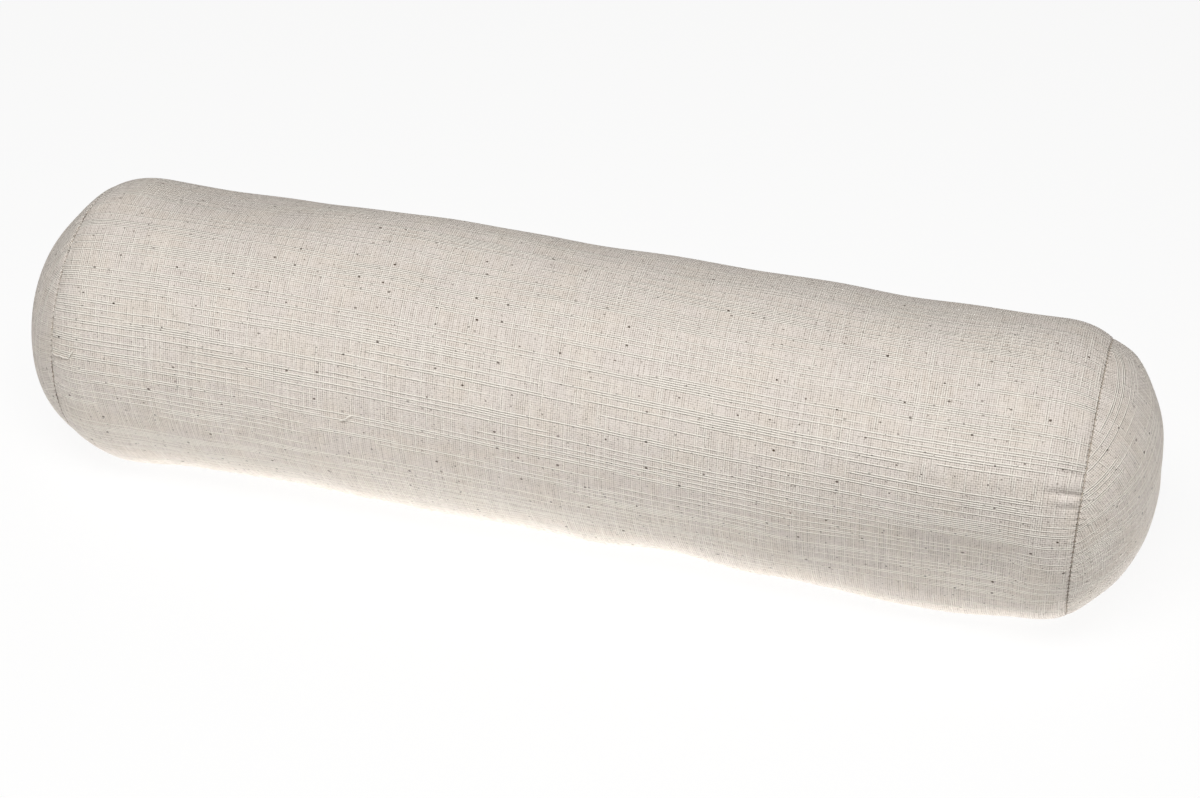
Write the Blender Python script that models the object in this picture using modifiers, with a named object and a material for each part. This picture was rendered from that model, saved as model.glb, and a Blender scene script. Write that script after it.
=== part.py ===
"""Round yoga bolster: a canvas cover with domed ends and a zip, over a filled inner bag.

Metres, +Z up. X runs along the bolster, the front is -Y, and the zip is at the back.
The origin is on the floor, under the middle of the bolster.
"""

import math

import bmesh
import bpy
from mathutils import Matrix, Vector

# Cover: overall form
BODY_RADIUS = 0.100
SEAM_TO_SEAM = 0.700
SEAM_RADIUS = 0.0922
SHOULDER_LENGTH = 0.0356
SHOULDER_CURVE = 2.55
DOME_HEIGHT = 0.0445
DOME_HIDDEN = 0.056
DOME_CURVE = 2.34
SAG = 0.0055

# Cloth, seams and the air left between touching pieces
CANVAS = 0.0010
LINING = 0.0006
SEAM_ALLOWANCE = 0.010
THREAD = 0.0005
CLEARANCE = 0.0003

# Facets of the turned pieces
AROUND = 32
STRAIGHT_STATIONS = 3
DOME_STATIONS = 6
THREAD_SIDES = 5

# Zip: where it lies and how the chain is cut
ZIP_ELEVATION = math.radians(22.5)
ZIP_END_MARGIN = 0.0144
ZIP_WINDOW_WIDTH = 0.0114
ZIP_HEM = 0.010
TAPE_THICKNESS = 0.0006
TAPE_EDGE = 0.0032
TAPE_WIDTH = 0.0138
TAPE_OVERLAP = 0.004
TOOTH_PITCH = 0.0030
TOOTH_THICKNESS = 0.0024
TOOTH_FLARE = 0.20
RAIL_INNER = 0.0017
RAIL_OUTER = 0.0029
RAIL_WAIST = 0.0025
STITCH_FROM_WINDOW = 0.0020
TACK_LENGTH = 0.0020
TACK_WIDTH = 0.0100
TACK_HEIGHT = 0.0004

# Zip: slider, pull and stops
SLIDER_LENGTH = 0.0110
SLIDER_REAR_WIDTH = 0.0082
SLIDER_MOUTH_WIDTH = 0.0108
SLIDER_PLATE = 0.0010
SLIDER_FLANGE = 0.0009
POST_WIDTH = 0.0018
BRIDGE_LENGTH = 0.0040
BRIDGE_WIDTH = 0.0026
BRIDGE_BAR = 0.0008
PIVOT_RADIUS = 0.0006
PULL_THICKNESS = 0.0012
PULL_LENGTH = 0.0265
PULL_NECK_WIDTH = 0.0058
PULL_WIDTH = 0.0078
PULL_HOLE_RADIUS = 0.0012
EYE_LENGTH = 0.0028
EYE_WIDTH = 0.0034
STOP_WIDTH = 0.0026
STOP_THICKNESS = 0.0038
TOP_STOP_LENGTH = 0.0040
BOTTOM_STOP_LENGTH = 0.0050
STOP_FROM_WINDOW = 0.0020

# Gentle lumps of the packed filling: place along X, turn from the zip over the top,
# how far it stands out (or in), and its half length and half spread
SWELLS = (
    (-0.100, math.radians(52), 0.0034, 0.120, math.radians(35)),
    (-0.255, math.radians(52), -0.0030, 0.110, math.radians(35)),
    (0.220, math.radians(52), -0.0028, 0.110, math.radians(35)),
    (-0.200, math.radians(214), -0.0024, 0.110, math.radians(38)),
    (0.075, math.radians(214), -0.0030, 0.090, math.radians(38)),
    (0.240, math.radians(214), 0.0044, 0.120, math.radians(38)),
)

# Sizes that follow from the ones above
SEAM_X = SEAM_TO_SEAM / 2
STRAIGHT_X = SEAM_X - SHOULDER_LENGTH
AXIS_HEIGHT = BODY_RADIUS - SAG
STEP_ANGLE = 2 * math.pi / AROUND
FACET_SHARE = math.cos(STEP_ANGLE / 2)
COVER_FACE = BODY_RADIUS * FACET_SHARE
WINDOW_X = STRAIGHT_X - ZIP_END_MARGIN
TAPE_LEVEL = COVER_FACE - 2 * CANVAS - CLEARANCE - TAPE_THICKNESS / 2
COVER_TOP = COVER_FACE - TAPE_LEVEL
CHANNEL_HALF = TOOTH_THICKNESS / 2 + CLEARANCE
SLIDER_TOP = CHANNEL_HALF + SLIDER_PLATE
TACK_TOP = COVER_TOP + CLEARANCE + TACK_HEIGHT
PIVOT_LEVEL = max(SLIDER_TOP, TACK_TOP) + CLEARANCE + PULL_THICKNESS / 2
TOP_STOP_X = WINDOW_X - STOP_FROM_WINDOW - TOP_STOP_LENGTH / 2
BOTTOM_STOP_X = -(WINDOW_X - STOP_FROM_WINDOW - BOTTOM_STOP_LENGTH / 2)
SLIDER_X = TOP_STOP_X - TOP_STOP_LENGTH / 2 - CLEARANCE - SLIDER_LENGTH / 2
SLIDER_TRAVEL = SLIDER_X - SLIDER_LENGTH / 2 - CLEARANCE - BOTTOM_STOP_X - BOTTOM_STOP_LENGTH / 2
STITCH_ACROSS = ZIP_WINDOW_WIDTH / 2 + STITCH_FROM_WINDOW
GROOVE_RADIUS = THREAD / 2 + CLEARANCE

# Depths of the layers below the cover's outer face
GROOVE_DEPTH = THREAD / 2 + 1.8 * CLEARANCE
COVER_INSIDE = CANVAS
HEM_INSIDE = 2 * CANVAS
LIP_OUTSIDE = HEM_INSIDE + CLEARANCE
LIP_INSIDE = LIP_OUTSIDE + CANVAS
LINER_OUTSIDE = COVER_INSIDE + CLEARANCE
LINER_INSIDE = LINER_OUTSIDE + LINING
LINER_UNDER_LIP = LIP_INSIDE + CLEARANCE
LINER_LIP_INSIDE = LINER_UNDER_LIP + LINING
FILLING_FACE = LINER_INSIDE + CLEARANCE
FILLING_UNDER_LIP = LINER_LIP_INSIDE + CLEARANCE
LINER_SEAM_X = SEAM_X - SEAM_ALLOWANCE - THREAD - CLEARANCE
LINER_FACE_AT_ZIP = TAPE_LEVEL - SLIDER_TOP - CLEARANCE
ZIP_DENT = BODY_RADIUS - LINER_OUTSIDE - LINER_FACE_AT_ZIP / FACET_SHARE

POLE = 1e-6


def clear_scene():
    for obj in list(bpy.data.objects):
        bpy.data.objects.remove(obj, do_unlink=True)


def new_collection(name):
    collection = bpy.data.collections.new(name)
    bpy.context.scene.collection.children.link(collection)
    return collection


def material(name, colour, roughness, metallic=0.0):
    made = bpy.data.materials.new(name)
    made.use_nodes = True
    shader = made.node_tree.nodes["Principled BSDF"]
    shader.inputs["Base Color"].default_value = (*colour, 1.0)
    shader.inputs["Roughness"].default_value = roughness
    shader.inputs["Metallic"].default_value = metallic
    return made


def make_materials():
    return {
        "canvas": material("natural_canvas", (0.56, 0.50, 0.43), 0.92),
        "lining": material("cotton_lining", (0.72, 0.69, 0.62), 0.90),
        "filling": material("cotton_wadding", (0.80, 0.77, 0.70), 0.98),
        "thread": material("cotton_thread", (0.50, 0.44, 0.36), 0.80),
        "tape": material("zip_tape", (0.52, 0.47, 0.40), 0.85),
        "teeth": material("zip_teeth", (0.58, 0.53, 0.45), 0.45),
        "brass": material("old_brass", (0.44, 0.34, 0.18), 0.38, 0.9),
    }


# Frames that the pieces are built in

def bolster_frame():
    """X points out through the zip, Z runs along the bolster: the axis of every turned piece."""
    out = Vector((0, math.cos(ZIP_ELEVATION), math.sin(ZIP_ELEVATION)))
    along = Vector((1, 0, 0))
    over = along.cross(out)
    turn = Matrix((out, over, along)).transposed().to_4x4()
    return Matrix.Translation((0, 0, AXIS_HEIGHT)) @ turn


def zip_frame(along, level):
    """X runs along the zip, Y down across it and Z out of it; the tape's middle is level 0."""
    out = Vector((0, math.cos(ZIP_ELEVATION), math.sin(ZIP_ELEVATION)))
    length = Vector((1, 0, 0))
    down = out.cross(length)
    turn = Matrix((length, down, out)).transposed().to_4x4()
    place = Vector((along, 0, AXIS_HEIGHT)) + out * (TAPE_LEVEL + level)
    return Matrix.Translation(place) @ turn


# How the packed bolster differs from a turned one

def bump(distance, reach):
    """1 in the middle, 0 from the reach outwards, smooth at both."""
    if abs(distance) >= reach:
        return 0.0
    return 0.5 + 0.5 * math.cos(math.pi * distance / reach)


def turned_radius(along):
    """Outer radius of the unpressed cover body."""
    reach = max(0.0, abs(along) - STRAIGHT_X) / SHOULDER_LENGTH
    return BODY_RADIUS - (BODY_RADIUS - SEAM_RADIUS) * min(1.0, reach) ** SHOULDER_CURVE


def dome_radius(beyond_seam):
    """Outer radius of the end panel, whose curve carries on from the shoulder's."""
    whole = DOME_HEIGHT + DOME_HIDDEN
    at_seam = (1 - (DOME_HIDDEN / whole) ** DOME_CURVE) ** (1 / DOME_CURVE)
    reach = min(1.0, (DOME_HIDDEN + beyond_seam) / whole)
    return SEAM_RADIUS / at_seam * (1 - reach ** DOME_CURVE) ** (1 / DOME_CURVE)


def swelling(along, around):
    total = 0.0
    for place, turn, height, length, spread in SWELLS:
        away = math.remainder(around - turn, 2 * math.pi)
        total += height * bump(along - place, length) * bump(away, spread)
    return total * min(1.0, max(0.0, SEAM_X - abs(along)) / SHOULDER_LENGTH)


def inward(along, around):
    """How far every layer is moved towards the axis by the lumps and by the bolster's weight."""
    turned = turned_radius(along)
    pressed = turned + swelling(along, around)
    from_floor = math.cos(around + ZIP_ELEVATION + math.pi / 2)
    if from_floor > POLE:
        pressed = min(pressed, AXIS_HEIGHT / from_floor)
    return turned - pressed


def zip_hollow(along, around):
    """The lining and filling give way to the zip, at the two corners of its facet."""
    if abs(math.remainder(around, 2 * math.pi)) > STEP_ANGLE:
        return 0.0
    towards_seam = (LINER_SEAM_X - abs(along)) / (LINER_SEAM_X - STRAIGHT_X)
    return ZIP_DENT * min(1.0, max(0.0, towards_seam))


# The turned outline, and the layers at a depth below it

def stations():
    """Named places along half of the outer face, from the middle to the pole: (along, radius)."""
    named = {"straight%d" % i: STRAIGHT_X * i / STRAIGHT_STATIONS for i in range(STRAIGHT_STATIONS + 1)}
    named["rise"] = (STRAIGHT_X + LINER_SEAM_X) / 2
    named["liner_seam"] = LINER_SEAM_X
    named["hem"] = SEAM_X - SEAM_ALLOWANCE
    named["lip"] = SEAM_X - GROOVE_DEPTH
    named["seam"] = SEAM_X
    places = {name: (along, turned_radius(along)) for name, along in named.items()}
    places["rim"] = (SEAM_X + CLEARANCE, dome_radius(CLEARANCE))
    places["brow"] = (SEAM_X + CLEARANCE + GROOVE_DEPTH, dome_radius(CLEARANCE + GROOVE_DEPTH))
    whole = DOME_HEIGHT + DOME_HIDDEN
    first = math.asin(DOME_HIDDEN / whole)
    for i in range(1, DOME_STATIONS + 1):
        turn = first + (math.pi / 2 - first) * i / DOME_STATIONS
        beyond = whole * math.sin(turn) - DOME_HIDDEN
        places["dome%d" % i] = (SEAM_X + beyond, dome_radius(beyond))
    return places


STRAIGHT = ["straight%d" % i for i in range(STRAIGHT_STATIONS + 1)]
DOME = ["dome%d" % i for i in range(1, DOME_STATIONS + 1)]
INNER_DOME = DOME[:1] + DOME[1::2]


def layer(names, depth):
    """The named places, moved in by a depth along the outer face's own mitres."""
    places = stations()
    order = list(places)
    points = [Vector(places[name]) for name in order]
    moved = []
    for name in names:
        i = order.index(name)
        before = points[i - 1] if i > 0 else points[i] - Vector((1, 0))
        after = points[i + 1] if i + 1 < len(points) else Vector((points[i - 1].x, -points[i - 1].y))
        sides = ((points[i] - before).normalized(), (after - points[i]).normalized())
        normals = [Vector((side.y, -side.x)) for side in sides]
        mean = (normals[0] + normals[1]).normalized()
        point = points[i] + mean * depth / mean.dot(normals[0])
        moved.append((point.x, max(0.0, point.y)))
    return moved


def mirrored(path):
    return [(-along, radius) for along, radius in reversed(path)]


def both_ways(outer, inner):
    """A sleeve's closed outline from half of its outer and inner paths, middle first."""
    outer_side = list(reversed(outer))
    outer_side += mirrored(outer_side)[1:]
    return outer_side + mirrored(inner) + inner[1:]


# Solids

def evaluated_mesh(obj):
    graph = bpy.context.evaluated_depsgraph_get()
    graph.update()
    return bpy.data.meshes.new_from_object(obj.evaluated_get(graph))


def finish_mesh(obj, collection, paint, smooth=True):
    collection.objects.link(obj)
    if paint:
        obj.data.materials.clear()
        obj.data.materials.append(paint)
    if smooth:
        obj.data.shade_smooth()
        obj.data.set_sharp_from_angle(angle=math.radians(40))
    return obj


def turned(name, outline, collection, paint, closed, hollowed=False):
    """An outline turned about the bolster's axis, then pressed to its resting form."""
    outline_mesh = bpy.data.meshes.new(name + "_outline")
    edges = [(i, i + 1) for i in range(len(outline) - 1)]
    if closed:
        edges.append((len(outline) - 1, 0))
    outline_mesh.from_pydata([(radius, 0, along) for along, radius in outline], edges, [])
    guide = bpy.data.objects.new(name + "_outline", outline_mesh)
    bpy.context.scene.collection.objects.link(guide)
    screw = guide.modifiers.new("Turn", "SCREW")
    screw.axis = "Z"
    screw.steps = AROUND
    screw.render_steps = AROUND
    screw.use_merge_vertices = True
    screw.merge_threshold = 0.00001
    mesh = evaluated_mesh(guide)
    mesh.name = name
    bpy.data.objects.remove(guide, do_unlink=True)

    mesh.transform(Matrix.Rotation(STEP_ANGLE / 2, 4, "Z"))
    for vertex in mesh.vertices:
        out, over, along = vertex.co
        radius = math.hypot(out, over)
        if radius < POLE:
            continue
        around = math.atan2(over, out)
        shift = inward(along, around)
        if hollowed:
            shift += zip_hollow(along, around)
        vertex.co.x *= (radius - shift) / radius
        vertex.co.y *= (radius - shift) / radius
    split_alike(mesh)
    obj = bpy.data.objects.new(name, mesh)
    obj.matrix_world = bolster_frame()
    return finish_mesh(obj, collection, paint)


def split_alike(mesh):
    """Cut every four-sided face along the same diagonal, so that nested layers stay apart."""
    work = bmesh.new()
    work.from_mesh(mesh)
    for face in list(work.faces):
        if len(face.verts) != 4:
            continue
        centre = face.calc_center_median()
        level = [v for v in face.verts if (v.co.z - centre.z) * centre.cross(v.co).z > POLE ** 2]
        if len(level) == 2:
            bmesh.utils.face_split(face, *level)
    work.to_mesh(mesh)
    work.free()


def flat_piece(name, outline, thickness, place, collection, paint=None):
    """A flat outline in its own XY plane, thickened evenly to both sides of it."""
    curve = bpy.data.curves.new(name + "_outline", "CURVE")
    curve.dimensions = "2D"
    curve.fill_mode = "BOTH"
    curve.extrude = thickness / 2
    spline = curve.splines.new("POLY")
    spline.points.add(len(outline) - 1)
    for point, (x, y) in zip(spline.points, outline):
        point.co = (x, y, 0, 1)
    spline.use_cyclic_u = True
    guide = bpy.data.objects.new(name + "_outline", curve)
    bpy.context.scene.collection.objects.link(guide)
    return mesh_from_curve(name, guide, place, collection, paint)


def mesh_from_curve(name, guide, place, collection, paint):
    mesh = evaluated_mesh(guide)
    mesh.name = name
    bpy.data.objects.remove(guide, do_unlink=True)
    work = bmesh.new()
    work.from_mesh(mesh)
    bmesh.ops.remove_doubles(work, verts=work.verts, dist=0.000001)
    bmesh.ops.recalc_face_normals(work, faces=work.faces)
    filled = [face for face in work.faces if len(face.verts) == 3]
    inner_edges = [edge for edge in work.edges if all(face in filled for face in edge.link_faces)]
    bmesh.ops.beautify_fill(work, faces=filled, edges=inner_edges)
    work.to_mesh(mesh)
    work.free()
    obj = bpy.data.objects.new(name, mesh)
    obj.matrix_world = place
    return finish_mesh(obj, collection, paint, smooth=False)


def thread_along(name, points, radius, place, collection, paint=None):
    """A length of sewing thread, or the groove that it lies in."""
    curve = bpy.data.curves.new(name + "_path", "CURVE")
    curve.dimensions = "3D"
    curve.bevel_depth = radius
    curve.bevel_resolution = 1
    curve.use_fill_caps = True
    spline = curve.splines.new("POLY")
    spline.points.add(len(points) - 1)
    for point, place_on_path in zip(spline.points, points):
        point.co = (*place_on_path, 1)
    guide = bpy.data.objects.new(name + "_path", curve)
    bpy.context.scene.collection.objects.link(guide)
    return mesh_from_curve(name, guide, place, collection, paint)


def block(name, size, place, collection, paint=None):
    bpy.ops.mesh.primitive_cube_add(size=1)
    obj = bpy.context.object
    obj.name = name
    obj.data.name = name
    obj.data.transform(Matrix.Diagonal((*size, 1)))
    for other in list(obj.users_collection):
        other.objects.unlink(obj)
    obj.matrix_world = place
    return finish_mesh(obj, collection, paint, smooth=False)


def rod(name, radius, length, sides, place, collection, paint=None):
    """A round bar whose axis is its own Z."""
    bpy.ops.mesh.primitive_cylinder_add(vertices=sides, radius=radius, depth=length)
    obj = bpy.context.object
    obj.name = name
    obj.data.name = name
    for other in list(obj.users_collection):
        other.objects.unlink(obj)
    obj.matrix_world = place
    return finish_mesh(obj, collection, paint, smooth=False)


def combine(obj, operation, tool):
    tool.hide_render = True
    tool.display_type = "WIRE"
    step = obj.modifiers.new(operation.title(), "BOOLEAN")
    step.operation = operation
    step.solver = "EXACT"
    step.object = tool


def across_facets(across, depth):
    """Place in the zip frame at a distance across the cover's facets and below its face."""
    face = COVER_FACE - depth
    half = face * math.tan(STEP_ANGLE / 2)
    beyond = max(0.0, abs(across) - half)
    side = math.copysign(1, across)
    y = min(abs(across), half) + beyond * math.cos(STEP_ANGLE)
    return (side * y, COVER_TOP - depth - beyond * math.sin(STEP_ANGLE))


def bent_strip(name, near, far, top, bottom, half_length, side, collection, paint=None):
    """A strip of cloth along the zip, bent over the corner between two facets."""
    corner = (COVER_FACE - top) * math.tan(STEP_ANGLE / 2)
    under_corner = (COVER_FACE - bottom) * math.tan(STEP_ANGLE / 2)
    section = [across_facets(side * near, top)]
    section.append(across_facets(side * corner, top))
    section.append(across_facets(side * far, top))
    section.append(across_facets(side * far, bottom))
    section.append(across_facets(side * under_corner, bottom))
    section.append(across_facets(side * near, bottom))
    along_x = Matrix(((0, 0, 1, 0), (1, 0, 0, 0), (0, 1, 0, 0), (0, 0, 0, 1)))
    place = zip_frame(0, 0) @ along_x
    return flat_piece(name, section, 2 * half_length, place, collection, paint)


# The cover

def cover_body(parts, cutters, paints):
    """The tube, its seam allowances doubled in at both ends and along the zip."""
    outer = layer(STRAIGHT + ["rise", "hem", "lip"], 0) + layer(["seam"], GROOVE_DEPTH)
    inner = layer(STRAIGHT + ["rise", "hem"], COVER_INSIDE)
    inner += layer(["hem", "seam"], HEM_INSIDE)
    body = turned("cover_body", both_ways(outer, inner), parts, paints["canvas"], closed=True)

    for side, name in ((-1, "upper"), (1, "lower")):
        hem = bent_strip(
            "hem_" + name,
            near=ZIP_WINDOW_WIDTH / 2 - CANVAS,
            far=ZIP_WINDOW_WIDTH / 2 + ZIP_HEM,
            top=CANVAS / 2,
            bottom=2 * CANVAS,
            half_length=WINDOW_X + CANVAS,
            side=side,
            collection=cutters,
        )
        combine(body, "UNION", hem)
    window = block(
        "zip_window",
        (2 * WINDOW_X, ZIP_WINDOW_WIDTH, 6 * CANVAS),
        zip_frame(0, COVER_TOP - CANVAS),
        cutters,
    )
    combine(body, "DIFFERENCE", window)
    for side, name in ((-1, "upper"), (1, "lower")):
        groove = block(
            "stitch_groove_" + name,
            (2 * WINDOW_X, 2 * GROOVE_RADIUS, 2 * GROOVE_RADIUS),
            zip_frame(0, COVER_TOP) @ Matrix.Translation((0, side * STITCH_ACROSS, 0)),
            cutters,
        )
        combine(body, "DIFFERENCE", groove)
    for side, name in ((-1, "left"), (1, "right")):
        path = closing_seam_path(side, extra=CLEARANCE)
        groove = thread_along("closing_groove_" + name, path, GROOVE_RADIUS, bolster_frame(), cutters)
        combine(body, "DIFFERENCE", groove)
    return body


def closing_seam_path(side, extra):
    """Along the middle of the zip's facet, from the end of the zip to the end seam."""
    start = WINDOW_X + CLEARANCE + TACK_LENGTH + 2 * CLEARANCE - extra
    end = SEAM_X - GROOVE_DEPTH - THREAD - 2 * CLEARANCE + extra
    path = [(start, turned_radius(start))]
    path += layer(["straight%d" % STRAIGHT_STATIONS, "rise", "hem"], 0)
    path.append((end, turned_radius(end)))
    return [(radius * FACET_SHARE, 0, side * along) for along, radius in path]


def cover_end(name, side, parts, paints):
    """A domed round panel, its allowance turned in under the body's doubled edge."""
    outline = layer(reversed(DOME), 0) + layer(["brow"], 0) + layer(["rim"], GROOVE_DEPTH)
    outline += layer(["rim", "hem"], LIP_OUTSIDE) + layer(["hem", "rim"], LIP_INSIDE)
    outline += layer(DOME, COVER_INSIDE)
    if side < 0:
        outline = mirrored(outline)
    return turned(name, outline, parts, paints["canvas"], closed=False)


def seam_ring(name, centre, side, parts, paint):
    """The sewing thread round an end seam, lying over the joint between its two panels."""
    ring = []
    for i in range(THREAD_SIDES):
        turn = 2 * math.pi * i / THREAD_SIDES
        ring.append(
            (
                side * centre[0] + THREAD / 2 * math.cos(turn),
                centre[1] + THREAD / 2 * math.sin(turn),
            )
        )
    return turned(name, ring, parts, paint, closed=True)


# The inner bag and its filling

def liner_body(parts, paints):
    outer = layer(STRAIGHT + ["rise"], LINER_OUTSIDE) + layer(["liner_seam"], LINER_UNDER_LIP)
    inner = layer(STRAIGHT + ["rise"], LINER_INSIDE) + layer(["liner_seam"], LINER_LIP_INSIDE)
    outline = both_ways(outer, inner)
    return turned("liner_body", outline, parts, paints["lining"], closed=True, hollowed=True)


def liner_end(name, side, parts, paints):
    outline = layer(reversed(INNER_DOME), LINER_OUTSIDE)
    outline += layer(["rim", "hem"], LINER_UNDER_LIP) + layer(["hem", "rim"], LINER_LIP_INSIDE)
    outline += layer(INNER_DOME, LINER_INSIDE)
    if side < 0:
        outline = mirrored(outline)
    return turned(name, outline, parts, paints["lining"], closed=False)


def filling(parts, paints):
    half = layer(reversed(INNER_DOME), FILLING_FACE)
    half += layer(["rim", "liner_seam"], FILLING_UNDER_LIP)
    half += layer(["rise"] + STRAIGHT[::-1], FILLING_FACE)
    outline = half + mirrored(half)[1:]
    return turned("filling", outline, parts, paints["filling"], closed=False, hollowed=True)


# The zip

def tooth_row(name, side, parts, paints):
    """Flared teeth that lock between the opposite ones, on a rail that is waisted between them."""
    first = BOTTOM_STOP_X + BOTTOM_STOP_LENGTH / 2 + CLEARANCE
    last = SLIDER_X
    count = int((last - first) / TOOTH_PITCH)
    reach = RAIL_INNER - CLEARANCE
    mean_half = TOOTH_PITCH / 4 - CLEARANCE / 2
    root_half = mean_half - TOOTH_FLARE * RAIL_INNER / 2
    head_half = mean_half + TOOTH_FLARE * reach / 2
    offset = TOOTH_PITCH * (0.25 if side < 0 else 0.75)
    outline = [(first, side * RAIL_OUTER), (first, side * RAIL_INNER)]
    for i in range(count):
        middle = first + offset + i * TOOTH_PITCH
        outline.append((middle - root_half, side * RAIL_INNER))
        outline.append((middle - head_half, -side * reach))
        outline.append((middle + head_half, -side * reach))
        outline.append((middle + root_half, side * RAIL_INNER))
    end = first + (count + 0.25) * TOOTH_PITCH
    outline += [(end, side * RAIL_INNER), (end, side * RAIL_OUTER)]
    for i in reversed(range(count)):
        middle = first + offset + i * TOOTH_PITCH
        outline.append((middle, side * RAIL_OUTER))
        if i > 0:
            outline.append((middle - TOOTH_PITCH / 2, side * RAIL_WAIST))
    return flat_piece(name, outline, TOOTH_THICKNESS, zip_frame(0, 0), parts, paints["teeth"])


def tape(name, side, parts, paints):
    depth = COVER_TOP - TAPE_THICKNESS / 2
    return bent_strip(
        name,
        near=TAPE_EDGE,
        far=TAPE_EDGE + TAPE_WIDTH,
        top=depth,
        bottom=depth + TAPE_THICKNESS,
        half_length=WINDOW_X + TAPE_OVERLAP,
        side=side,
        collection=parts,
        paint=paints["tape"],
    )


def slider_outline(inset_by, overrun):
    """Shield shape seen from outside: narrow where the closed chain leaves, wide at the mouth."""
    rear = SLIDER_REAR_WIDTH / 2 - inset_by
    mouth = SLIDER_MOUTH_WIDTH / 2 - inset_by
    half = SLIDER_LENGTH / 2 + overrun
    corner = 0.0008
    edge = [
        (-half, rear - corner),
        (-half + corner, rear),
        (0.05 * SLIDER_LENGTH, rear),
        (0.27 * SLIDER_LENGTH, mouth),
        (half - corner, mouth),
        (half, mouth - corner),
    ]
    return edge + [(x, -y) for x, y in reversed(edge)]


def slider(parts, cutters, paints):
    """Two plates with turned-in flanges, joined by the post that parts the teeth."""
    place = zip_frame(SLIDER_X, 0)
    gap = TAPE_THICKNESS + 2 * CLEARANCE
    half_height = (2 * SLIDER_TOP - gap) / 2
    body = flat_piece(
        "zip_slider",
        slider_outline(0, 0),
        half_height,
        place @ Matrix.Translation((0, 0, SLIDER_TOP - half_height / 2)),
        parts,
        paints["brass"],
    )
    under = flat_piece(
        "slider_under_plate",
        slider_outline(0, 0),
        half_height,
        place @ Matrix.Translation((0, 0, half_height / 2 - SLIDER_TOP)),
        cutters,
    )
    channel = flat_piece(
        "slider_channel",
        slider_outline(SLIDER_FLANGE, SLIDER_PLATE),
        2 * CHANNEL_HALF,
        place,
        cutters,
    )
    nose = 0.11 * SLIDER_LENGTH
    tail = 0.46 * SLIDER_LENGTH
    wide = POST_WIDTH / 2
    post_outline = [(nose, 0), (nose + wide, -wide), (tail - wide, -wide), (tail, 0)]
    post_outline += [(tail - wide, wide), (nose + wide, wide)]
    post = flat_piece("slider_post", post_outline, 2 * SLIDER_TOP - SLIDER_PLATE, place, cutters)
    combine(body, "UNION", under)
    combine(body, "DIFFERENCE", channel)
    combine(body, "UNION", post)

    bridge = flat_piece(
        "slider_bridge",
        bridge_outline(),
        BRIDGE_WIDTH,
        place @ Matrix.Rotation(math.pi / 2, 4, "X"),
        cutters,
    )
    combine(body, "UNION", bridge)
    return body


def bridge_outline():
    """The arch over the pull's pivot, seen from the side, its feet sunk in the upper plate."""
    foot = SLIDER_TOP - 0.3 * SLIDER_PLATE
    ceiling = PIVOT_LEVEL + PIVOT_RADIUS + CLEARANCE
    half = BRIDGE_LENGTH / 2
    inside = half - BRIDGE_BAR
    edge = [
        (inside, foot),
        (half, foot),
        (half, ceiling - BRIDGE_BAR / 4),
        (inside, ceiling + BRIDGE_BAR),
    ]
    opening = [(inside, ceiling - CLEARANCE), (inside - CLEARANCE, ceiling)]
    outer = edge + [(-x, z) for x, z in reversed(edge)]
    return outer + [(-x, z) for x, z in opening] + list(reversed(opening))


def pull(parts, cutters, paints):
    """A flat tab whose pivot bar passes under the slider's bridge."""
    place = zip_frame(SLIDER_X, PIVOT_LEVEL)
    neck = PULL_NECK_WIDTH / 2
    wide = PULL_WIDTH / 2
    shoulder = EYE_LENGTH + 2 * BRIDGE_BAR
    edge = [
        (0, neck),
        (-shoulder, neck),
        (-2 * shoulder, 0.85 * wide),
        (-PULL_LENGTH + wide, wide),
        (-PULL_LENGTH + wide / 3, 0.7 * wide),
        (-PULL_LENGTH, 0.25 * wide),
    ]
    outline = edge + [(x, -y) for x, y in reversed(edge)]
    body = flat_piece("zip_pull", outline, PULL_THICKNESS, place, parts, paints["brass"])
    reach = EYE_LENGTH + PIVOT_RADIUS
    eye = block(
        "pull_eye",
        (reach, EYE_WIDTH, 2 * PULL_THICKNESS),
        place @ Matrix.Translation((PIVOT_RADIUS - reach / 2, 0, 0)),
        cutters,
    )
    combine(body, "DIFFERENCE", eye)
    hole = rod(
        "pull_hole",
        PULL_HOLE_RADIUS,
        2 * PULL_THICKNESS,
        12,
        place @ Matrix.Translation((-PULL_LENGTH + wide, 0, 0)),
        cutters,
    )
    combine(body, "DIFFERENCE", hole)
    bar = rod(
        "pull_pivot_bar",
        PIVOT_RADIUS,
        PULL_NECK_WIDTH,
        12,
        place @ Matrix.Rotation(math.pi / 2, 4, "X"),
        cutters,
    )
    combine(body, "UNION", bar)
    return body


def stop_section(inner, outer):
    """A clip over the tape's edge, seen along the zip."""
    half = STOP_THICKNESS / 2
    slot = TAPE_THICKNESS / 2 + CLEARANCE
    grip = TAPE_EDGE - CLEARANCE
    return [
        (inner, -half),
        (outer, -half),
        (outer, -slot),
        (grip, -slot),
        (grip, slot),
        (outer, slot),
        (outer, half),
        (inner, half),
    ]


def stops(parts, paints):
    along_x = Matrix(((0, 0, 1, 0), (1, 0, 0, 0), (0, 1, 0, 0), (0, 0, 0, 1)))
    outer = TAPE_EDGE + STOP_WIDTH / 2
    clip = stop_section(outer - STOP_WIDTH, outer)
    for side, name in ((-1, "upper"), (1, "lower")):
        section = [(side * y, z) for y, z in clip]
        place = zip_frame(TOP_STOP_X, 0) @ along_x
        flat_piece("zip_top_stop_" + name, section, TOP_STOP_LENGTH, place, parts, paints["brass"])
    half = stop_section(0, outer)[1:-1]
    section = half + [(-y, z) for y, z in reversed(half)]
    place = zip_frame(BOTTOM_STOP_X, 0) @ along_x
    flat_piece("zip_bottom_stop", section, BOTTOM_STOP_LENGTH, place, parts, paints["brass"])


# Sewing threads and tacks that hold the zip

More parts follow.
